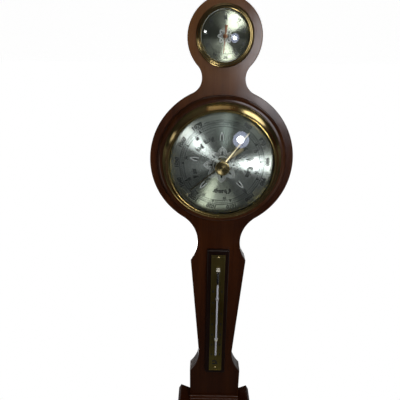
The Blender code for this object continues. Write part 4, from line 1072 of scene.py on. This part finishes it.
# ---- hygrometer dial ------------------------------------------------------------------------------
pr = Print(1.795, 1.825)
HTURN = -3.0
for i in range(9):
    pr.text(str(10 * (i + 1)), 2.6, around(18.0, HTURN + 33.75 * (i - 4)), squeeze=0.95, weight=0.03)
pr.line([polar(16.9, HTURN - 135 + 270 * i / 90) for i in range(91)], 0.13)
pr.line([polar(15.6, HTURN - 135 + 270 * i / 90) for i in range(91)], 0.10)
for i in range(81):
    a = HTURN - 135 + 270 * i / 80
    ray(pr, a, 15.6, 17.5 if i % 10 == 0 else (16.9 if i % 5 else 17.2), 0.24 if i % 10 == 0 else 0.12)
pr.text("%", 3.4, spot(0.2, -17.9), weight=0.04)
pr.text("humidity", 1.25, around(21.2, 180, True), squeeze=0.95, weight=0.01)
for k in range(8):
    sp = spot(0, 0, k * 45.0)
    pr.line([(0, 4.1 + 0.2 * i) for i in range(9)], 0.5, sp, taper=lambda t: 0.4 + 0.6 * sin(pi * t))
    pr.patch([(0, 3.0), (0.28, 3.5), (0, 4.0), (-0.28, 3.5)], spot(0, 0, k * 45.0 + 22.5))
add("hygro_scale", pr.mesh("hygro_scale"), "ink", "case", at=(0, HZ))
pr = Print(1.795, 1.82)
for k in range(8):
    sp = spot(0, 0, k * 45.0)
    pr.line(lobe(22.5, 4.6, 7.3, 8, 0.8), 0.5, sp)
    pr.line([(1.05 * sin(t), 5.2 + 1.05 * cos(t)) for t in [2 * pi * i / 16 for i in range(16)]], 0.42, sp, closed=True)
    pr.line([(0.6 * sin(t), 4.2 + 0.6 * cos(t)) for t in [2 * pi * i / 12 for i in range(12)]], 0.36, spot(0, 0, k * 45.0 + 22.5), closed=True)
pr.line(ring_points(3.0, 40), 0.2, closed=True)
add("hygro_rosette", pr.mesh("hygro_rosette"), "leaf", "case", at=(0, HZ))

# ================================ thermometer ====================================================
pl = slab_mesh("thermometer_scale_plate", [[(-PLATE_W / 2, PLATE_Z0), (PLATE_W / 2, PLATE_Z0), (PLATE_W / 2, PLATE_Z1),
                                            (-PLATE_W / 2, PLATE_Z1)],
                                           ring_points(0.95, 20, 0, PIN_Z[0]), ring_points(0.95, 20, 0, PIN_Z[1])],
               PLATE_H0, PLATE_H1, bevel=0.12, segments=2)
add("thermometer_scale_plate", pl, "plate", "case", "thermometer_plate", weighted=True)
pr = Print(PLATE_H1 - 0.005, PLATE_H1 + 0.02)
E0 = 0.75
for z in (PLATE_Z0 + 2.9, PLATE_Z1 - 1.9):
    for s in (-1, 1):
        pr.line([(s * 1.75, z), (s * (PLATE_W / 2 - E0), z)], 0.28)
for s in (-1, 1):
    pr.line([(s * (PLATE_W / 2 - E0), PLATE_Z0 + E0), (s * (PLATE_W / 2 - E0), PLATE_Z1 - E0)], 0.14)
for z in (PLATE_Z0 + E0, PLATE_Z1 - E0):
    pr.line([(-PLATE_W / 2 + E0, z), (PLATE_W / 2 - E0, z)], 0.18)
add("thermometer_plate_lines", pr.mesh("thermometer_plate_lines"), "plate_line", "case")
pr = Print(PLATE_H1 - 0.005, PLATE_H1 + 0.025)
Z50, DEG = 272.0, 1.73
for d in range(-10, 51):
    z = Z50 - (50 - d) * DEG
    reach = 3.7 if d % 10 == 0 else (3.2 if d % 5 == 0 else 2.8)
    for s in (-1, 1):
        pr.line([(s * 1.9, z), (s * reach, z)], 0.24 if d % 10 == 0 else 0.13)
for d, (a, b) in zip(range(50, -11, -10), (("5", "0"), ("4", "0"), ("3", "0"), ("2", "0"), ("1", "0"), ("", "0"), ("1", "0"))):
    z = Z50 - (50 - d) * DEG - 1.55
    if a:
        pr.text(a, 3.1, spot(-5.6, z), squeeze=1.0, weight=0.06)
    pr.text(b, 3.1, spot(5.6, z), squeeze=1.0, weight=0.06)
pr.line([(-8.0, Z50 - 60 * DEG), (-7.1, Z50 - 60 * DEG)], 0.3)
pr.text("C", 6.2, spot(0.9, 283.2), squeeze=1.0, weight=0.09)
pr.line([(-2.7 + 0.75 * cos(t), 289.3 + 0.75 * sin(t)) for t in [2 * pi * i / 16 for i in range(16)]], 0.6, closed=True)
add("thermometer_figures", pr.mesh("thermometer_figures"), "plate_ink", "case")

# pins with a domed, slotted head
for side, z in (("lower", PIN_Z[0]), ("upper", PIN_Z[1])):
    hh = PLATE_H1 + 0.3
    head = lathe_mesh("pin", [(0, hh + 0.92), (0.35, hh + 0.9), (0.8, hh + 0.76), (1.15, hh + 0.5), (1.33, hh + 0.25),
                              (1.38, hh + 0.05), (1.3, hh), (0.6, hh), (0.6, -4.0), (0.12, -4.95), (0, -5.0)], 40)
    head.transform(Matrix.Translation((0, 0, z * MM)))
    cut_ = box_mesh("slot", -0.2, 0.2, z - 1.8, z + 1.8, hh + 0.5, hh + 1.3)
    add(f"plate_pin_{side}_head", boolean(head, [cut_]), "pin", "case", f"plate_pin_{side}")


def upright(name, profile, steps=40, h=TUBE_H, angle=32):
    """Turn (radius, z) pairs about a line standing up the plate at height h."""
    me = lathe_mesh(name, [(r, z) for r, z in profile], steps, angle=angle)
    for v in me.vertices:
        x, y, z = v.co
        v.co = (x, z - h * MM, -y)
    finish_mesh(me, angle)
    return me


# clear glass stem and bulb, the stem backed with white
r_, b_ = TUBE_R, BULB_R
stem = [(0, TUBE_TOP), (0.5, TUBE_TOP - 0.02), (0.95, TUBE_TOP - 0.25), (r_ - 0.06, TUBE_TOP - 0.8), (r_, TUBE_TOP - 1.6),
        (r_, BULB_Z1 + 3.2), (r_ + 0.12, BULB_Z1 + 2.2), (b_ - 0.45, BULB_Z1 + 0.6), (b_ - 0.08, BULB_Z1 - 0.6),
        (b_, BULB_Z1 - 1.8), (b_, BULB_Z0 + 2.2), (b_ - 0.2, BULB_Z0 + 1.1), (b_ - 0.8, BULB_Z0 + 0.3), (0.6, BULB_Z0 + 0.03),
        (0, BULB_Z0)]
add("thermometer_glass", upright("thermometer_glass", stem), "tube_glass", "case", "thermometer_tube")
milk = [(0, TUBE_TOP - 1.2), (0.7, TUBE_TOP - 1.3), (1.0, TUBE_TOP - 1.8), (r_ - 0.14, TUBE_TOP - 2.6), (r_ - 0.14, BULB_Z1 + 3.4),
        (0.9, BULB_Z1 + 2.0), (0.5, BULB_Z1 + 1.2), (0, BULB_Z1 + 1.1)]
me = upright("stem_white_back", milk)
add("stem_white_back", me, "tube_white", "case")
dark = [(0, BULB_Z1 + 0.9), (0.3, BULB_Z1 + 0.7), (0.7, BULB_Z1 - 0.4), (1.1, BULB_Z1 - 1.4), (1.32, BULB_Z1 - 2.4),
        (1.36, BULB_Z0 + 3.0), (1.2, BULB_Z0 + 1.9), (0.8, BULB_Z0 + 1.35), (0, BULB_Z0 + 1.2)]
add("bulb_spirit", upright("bulb_spirit", dark), "spirit", "case", "thermometer_spirit")


def clip_mesh(name, z0, z1, foot):
    """Bent strip: an arch over the stem with a foot lying on the plate at each side."""
    r0, r1, base = r_ + 0.12, r_ + 0.52, PLATE_H1 + 0.25
    rows = []
    outer = [(foot, base), (foot, base + 0.5), (r1 + 0.2, base + 0.55), (r1, base + 0.9)] + arc(0, TUBE_H, r1, 0, pi, 16) + \
            [(-r1, base + 0.9), (-r1 - 0.2, base + 0.55), (-foot, base + 0.5), (-foot, base), (-r0, base)] + \
            arc(0, TUBE_H, r0, pi, 0, 16) + [(r0, base)]
    me = slab_mesh(name, [outer], 0.0, z1 - z0, bevel=0.1, segments=2)
    for v in me.vertices:
        x, y, z = v.co                             # slab: (x, -height, second)
        v.co = (x, -z, z0 * MM - y)
    finish_mesh(me, 35)
    return me


for side, z0, z1, foot in (("upper", 242.8, 245.8, 2.3), ("middle", 177.4, 179.4, 2.3)):
    add(f"tube_clip_{side}_strip", clip_mesh(f"tube_clip_{side}_strip", z0, z1, foot), "clip" if side == "upper" else "clip_dull",
        "case", f"tube_clip_{side}")
rest = join_meshes("bulb_rest_bars", [
    box_mesh("a", -2.5, 2.5, 135.2, 137.1, PLATE_H1 + 1.1, PLATE_H1 + 3.1, bevel=0.45),
    box_mesh("b", -2.1, 2.1, 132.5, 134.3, PLATE_H1 + 1.0, PLATE_H1 + 2.7, bevel=0.45),
    box_mesh("c", -1.9, 1.9, 132.9, 136.7, PLATE_H1 + 0.26, PLATE_H1 + 1.5, bevel=0.3)], 35)
add("bulb_rest_bars", rest, "clip", "case", "bulb_rest")

# ================================ camera, light, floor ==========================================
def set_camera():
    tilt, pan, roll = radians(20.474), radians(-0.589), radians(-0.509)
    Rx = Matrix(((1, 0, 0), (0, cos(tilt), -sin(tilt)), (0, sin(tilt), cos(tilt))))
    Rz = Matrix(((cos(pan), -sin(pan), 0), (sin(pan), cos(pan), 0), (0, 0, 1)))
    Ry = Matrix(((cos(roll), 0, sin(roll)), (0, 1, 0), (-sin(roll), 0, cos(roll))))
    R = Rz @ Rx @ Ry                              # columns: right, forward, up
    right, fwd, up = R.col[0], R.col[1], R.col[2]
    cam = bpy.data.cameras.new("camera")
    cam.sensor_width = 36.0
    cam.lens = 329.8 / 400 * 36.0
    cam.clip_start = 0.01
    ob = bpy.data.objects.new("camera", cam)
    scene.collection.objects.link(ob)
    place = ORIGIN + Vector((19.68, -361.63, -89.01)) * MM
    # the picture is taken upside down, so the camera is rolled over
    ob.matrix_world = Matrix((
        (-right.x, -up.x, -fwd.x, place.x),
        (-right.y, -up.y, -fwd.y, place.y),
        (-right.z, -up.z, -fwd.z, place.z),
        (0, 0, 0, 1)))
    scene.camera = ob


set_camera()
scene.view_settings.view_transform = "Standard"
scene.view_settings.look = "None"

FLOOR_Z = -1.6
me = bpy.data.meshes.new("floor")
s_ = 30.0
me.from_pydata([(-s_, -s_, FLOOR_Z), (s_, -s_, FLOOR_Z), (s_, s_, FLOOR_Z), (-s_, s_, FLOOR_Z)], [], [(0, 1, 2, 3)])
floor = bpy.data.objects.new("floor", me)
scene.collection.objects.link(floor)
fm = Mat("pale_floor")
grain_ = fm.noise(fm.map(fm.coords(), scale=(3, 3, 3)), 1.0, 3.0, 0.5)
fcol = fm.mix(fm.range(grain_, 0.3, 0.7, 0.0, 1.0), (0.86, 0.86, 0.85), (0.82, 0.82, 0.81))
fsh = fm.principled(Base_Color=fcol, Roughness=0.7, Emission_Color=(1, 1, 1), Emission_Strength=0.9)
# the floor looks pale, but doesn't flood the object from below
dim = fm.node("ShaderNodeBsdfDiffuse", {"Color": (0.14, 0.14, 0.14)}).outputs[0]
ray = fm.node("ShaderNodeLightPath").outputs["Is Camera Ray"]
me.materials.append(fm.end(fm.node("ShaderNodeMixShader", {0: ray, 1: dim, 2: fsh}).outputs[0]))


def world():
    w = bpy.data.worlds.new("studio")
    scene.world = w
    w.use_nodes = True
    nt = w.node_tree
    nt.nodes.clear()
    out = nt.nodes.new("ShaderNodeOutputWorld")
    seen = nt.nodes.new("ShaderNodeBackground")
    seen.inputs["Color"].default_value = (1, 1, 1, 1)
    seen.inputs["Strength"].default_value = 1.0
    lit = nt.nodes.new("ShaderNodeBackground")
    tc = nt.nodes.new("ShaderNodeTexCoord")
    sep = nt.nodes.new("ShaderNodeSeparateXYZ")
    nt.links.new(tc.outputs["Generated"], sep.inputs[0])
    # in front of the object (-Y): light near the horizon, dark higher up
    fr = nt.nodes.new("ShaderNodeValToRGB")
    el = nt.nodes.new("ShaderNodeMapRange")
    el.inputs["From Min"].default_value = -1.0
    el.inputs["From Max"].default_value = 1.0
    nt.links.new(sep.outputs["Z"], el.inputs["Value"])
    nt.links.new(el.outputs[0], fr.inputs["Fac"])
    stops = [(0.0, 0.22), (0.42, 0.18), (0.50, 0.10), (0.58, 0.05), (0.66, 0.022), (0.9, 0.03), (1.0, 0.2)]
    cr = fr.color_ramp
    while len(cr.elements) < len(stops):
        cr.elements.new(0.5)
    for e, (p, c) in zip(cr.elements, stops):
        e.position = p
        e.color = (c, c, c * 0.98, 1)
    # behind it (+Y): even
    mixn = nt.nodes.new("ShaderNodeMix")
    mixn.data_type = "RGBA"
    back = nt.nodes.new("ShaderNodeMapRange")
    back.inputs["From Min"].default_value = 0.55
    back.inputs["From Max"].default_value = 0.85
    nt.links.new(sep.outputs["Y"], back.inputs["Value"])
    nt.links.new(back.outputs[0], mixn.inputs["Factor"])
    ab = [i for i in mixn.inputs if i.type == "RGBA"]
    nt.links.new(fr.outputs["Color"], ab[0])
    ab[1].default_value = (0.34, 0.34, 0.35, 1)
    nt.links.new([o for o in mixn.outputs if o.type == "RGBA"][0], lit.inputs["Color"])
    lit.inputs["Strength"].default_value = 1.0
    lp = nt.nodes.new("ShaderNodeLightPath")
    mx = nt.nodes.new("ShaderNodeMixShader")
    nt.links.new(lp.outputs["Is Camera Ray"], mx.inputs[0])
    nt.links.new(lit.outputs[0], mx.inputs[1])
    nt.links.new(seen.outputs[0], mx.inputs[2])
    nt.links.new(mx.outputs[0], out.inputs["Surface"])


world()


def lamp(name, az, el, dist, size, power, colour=(1, 1, 1), target=(0, 0), shape="DISK", size_y=None, turn=0.0):
    """Soft light in direction az (right of straight ahead) and el (above level), seen from a point
    of the dial's plane."""
    t = ORIGIN + Vector((target[0] * MM, 0, target[1] * MM))
    d = Vector((sin(radians(az)) * cos(radians(el)), -cos(radians(az)) * cos(radians(el)), sin(radians(el))))
    li = bpy.data.lights.new(name, "AREA")
    li.shape = shape
    li.size = size
    if size_y:
        li.size_y = size_y
    li.energy = power
    li.color = colour
    ob = bpy.data.objects.new(name, li)
    scene.collection.objects.link(ob)
    ob.location = t + d * dist
    ob.rotation_euler = ((-d).to_track_quat("-Z", "Y") @ Quaternion((0, 0, 1), radians(turn))).to_euler()
    ob.visible_camera = False
    return ob


def only_on(light, *names):
    """The light falls on these pieces alone."""
    col = bpy.data.collections.new(light.name + "_falls_on")
    for n in names:
        col.objects.link(bpy.data.objects[n])
    light.light_linking.receiver_collection = col


def lamp_from(name, d, dist, size, power, colour=(1, 1, 1), target=(0, 0)):
    az = atan2(d[0], -d[1]) * 180 / pi
    el = atan2(d[2], hypot(d[0], d[1])) * 180 / pi
    return lamp(name, az, el, dist, size, power, colour, target)


def not_on(light, *names):
    """The light falls on every piece but these."""
    only_on(light, *[o.name for o in scene.objects if o.type == "MESH" and o.name not in names])


MIRRORS = ("main_glass_dome", "hygro_glass_dome", "dial_plate", "hygro_dial_plate", "main_bezel_ring", "hygro_bezel_ring")
# one broad lamp low on the left lights the wood and brass, two faint boxes open the shadows
not_on(lamp("low_left", -20, -8, 1.1, 0.50, 4.6, (0.96, 0.95, 1.0)), *MIRRORS)
not_on(lamp("soft_left", -62, 30, 1.6, 0.9, 1.2, (1.0, 0.98, 0.95)), *MIRRORS)
not_on(lamp("soft_right", 60, 22, 1.6, 0.9, 1.6, (1.0, 0.97, 0.93)), *MIRRORS)
lamp("behind_left", -150, 25, 1.6, 0.9, 0.4, (1.0, 0.99, 0.97))
not_on(lamp("back_soft", 178, 38, 1.6, 0.9, 6.0, (1.0, 0.99, 0.97)), *MIRRORS)
lamp("behind_right", 155, 20, 1.6, 0.9, 7.0, (1.0, 0.98, 0.96))
# a round lamp with a soft edge that both glasses mirror
for nm, piece, az, el, target in (("main", "main_glass_dome", -15.0, -4.3, (0, 0)), ("hygro", "hygro_glass_dome", -14.9, -3.6, (0, HZ))):
    only_on(lamp(f"round_lamp_{nm}", az, el, 1.079, 0.10, 0.40, (0.97, 0.98, 1.0), target), piece)
    only_on(lamp(f"round_lamp_edge_{nm}", az - 0.3, el + 0.3, 1.10, 0.21, 0.42, (0.66, 0.72, 1.0), target), piece)
not_on(lamp("side_soft_right", 97, 10, 1.3, 0.7, 4.0), *MIRRORS, "wooden_ring")
not_on(lamp("side_soft_left", -97, 10, 1.3, 0.7, 1.6), *MIRRORS, "wooden_ring")
only_on(lamp("dial_far_left", -46, -26, 1.4, 1.0, 1.5, (0.95, 1.0, 0.98)), "dial_plate")
only_on(lamp("dial_far_low", 12, -32, 1.4, 0.8, 0.7, (0.95, 1.0, 0.98)), "dial_plate")
not_on(lamp("under_soft", 8, -66, 1.3, 0.7, 5.5, (1.0, 0.93, 0.86)), *MIRRORS, "wooden_ring")
only_on(lamp("hygro_bezel_left", -24, -8, 1.1, 0.50, 1.9, (1.0, 0.98, 0.9), (0, HZ)), "hygro_bezel_ring")
only_on(lamp("hygro_bezel_right", 62, 12, 1.1, 0.40, 2.2, (1.0, 0.98, 0.9), (0, HZ)), "hygro_bezel_ring")
only_on(lamp("side_lamp", 23.0, -10.5, 1.1, 0.07, 0.16, (1, 1, 1), (0, HZ)), "hygro_glass_dome")
# long soft lights, each pointing at a dial's mirror direction, draw the fans on the brushed discs
def fan_light(name, piece, mirror, clockwise, away, half_len, half_wide, power, colour, target=(0, 0), dist=1.3):
    az = mirror[0] + away * sin(radians(clockwise))
    el = mirror[1] + away * cos(radians(clockwise))
    only_on(lamp(name, az, el, dist, 2 * dist * tan(radians(half_len)), power, colour, target, "ELLIPSE",
                 2 * dist * tan(radians(half_wide)), 90 - clockwise), piece)


for nm, cw, away, hl, hw, power, colour in (("dial_fan_left", 269, 29, 14, 5.5, 4.0, (0.97, 0.99, 1.0)),
                                            ("dial_fan_low", 130, 29, 14, 6.0, 2.8, (0.97, 0.99, 1.0)),
                                            ("dial_fan_high", 24, 29, 14, 4.8, 0.95, (0.97, 1.0, 0.80)),
                                            ("dial_fan_foot", 186, 29, 14, 4.6, 0.40, (0.90, 1.0, 0.97))):
    fan_light(nm, "dial_plate", (-3.0, 13.5), cw, away, hl, hw, power, colour)
only_on(lamp("dial_top", -2, 60, 1.3, 0.8, 1.5, (0.97, 1.0, 0.84)), "dial_plate")
for nm, cw, away, hl, hw, power, colour in (("hygro_fan_top", 349, 28, 14, 10.0, 3.2, (1.0, 1.0, 0.93)),
                                            ("hygro_fan_low", 217, 28, 14, 13.0, 5.6, (1.0, 1.0, 0.94))):
    fan_light(nm, "hygro_dial_plate", (-3.0, -6.0), cw, away, hl, hw, power, colour, (0, HZ))
only_on(lamp_from("bezel_left_low", (-0.60, 0.48, -0.64), 0.9, 0.42, 1.3), "main_bezel_ring", "wooden_ring")
only_on(lamp_from("bezel_right", (0.831, 0.49, -0.262), 0.9, 0.16, 0.09), "main_bezel_ring", "hygro_bezel_ring", "board", "wooden_ring")
only_on(lamp_from("rim_high", (0.29, -0.74, 0.60), 1.2, 0.30, 3.4, (1.0, 0.97, 0.85)), "main_bezel_ring", "hygro_bezel_ring")

# ================================ CAD nodes that stay, with real surfaces =========================
KEEP = {
    "steel": ("adjusting_screw", "main_spring", "lever_pin", "rocking_arbor", "hand_arbor", "chain", "spring_post",
              "hygro_arbor"),
    "move_brass": ("base_plate", "dial_pillar_1", "dial_pillar_2", "dial_pillar_3", "main_lever", "bridge_pillar_upper",
                   "bridge_pillar_lower", "lower_bridge", "upper_bridge", "capsule_stud", "rocking_post_upper",
                   "rocking_post_lower", "coil_post", "knob_shaft"),
    "nickel": ("aneroid_capsule", "drum_screw_1", "drum_screw_2", "drum_screw_3"),
    "blued": ("hairspring",),
    "copper": ("hygro_coil",),
    "tin": ("drum_case", "hygro_can"),
    "back_brass": ("hanger_plate", "hanger_screw_left", "hanger_screw_right"),
    "plate": ("thermometer_plate",),
    "pin": ("plate_pin_upper", "plate_pin_lower"),
    "clip": ("tube_clip_upper", "tube_clip_middle", "bulb_rest"),
    "tube_white": ("thermometer_tube",),
    "spirit": ("thermometer_spirit",),
}
for key, names in KEEP.items():
    for n in names:
        ob = NODES[n]
        if not ob.hide_render:
            ob.data.materials.clear()
            ob.data.materials.append(MAT[key])

bpy.context.view_layer.update()
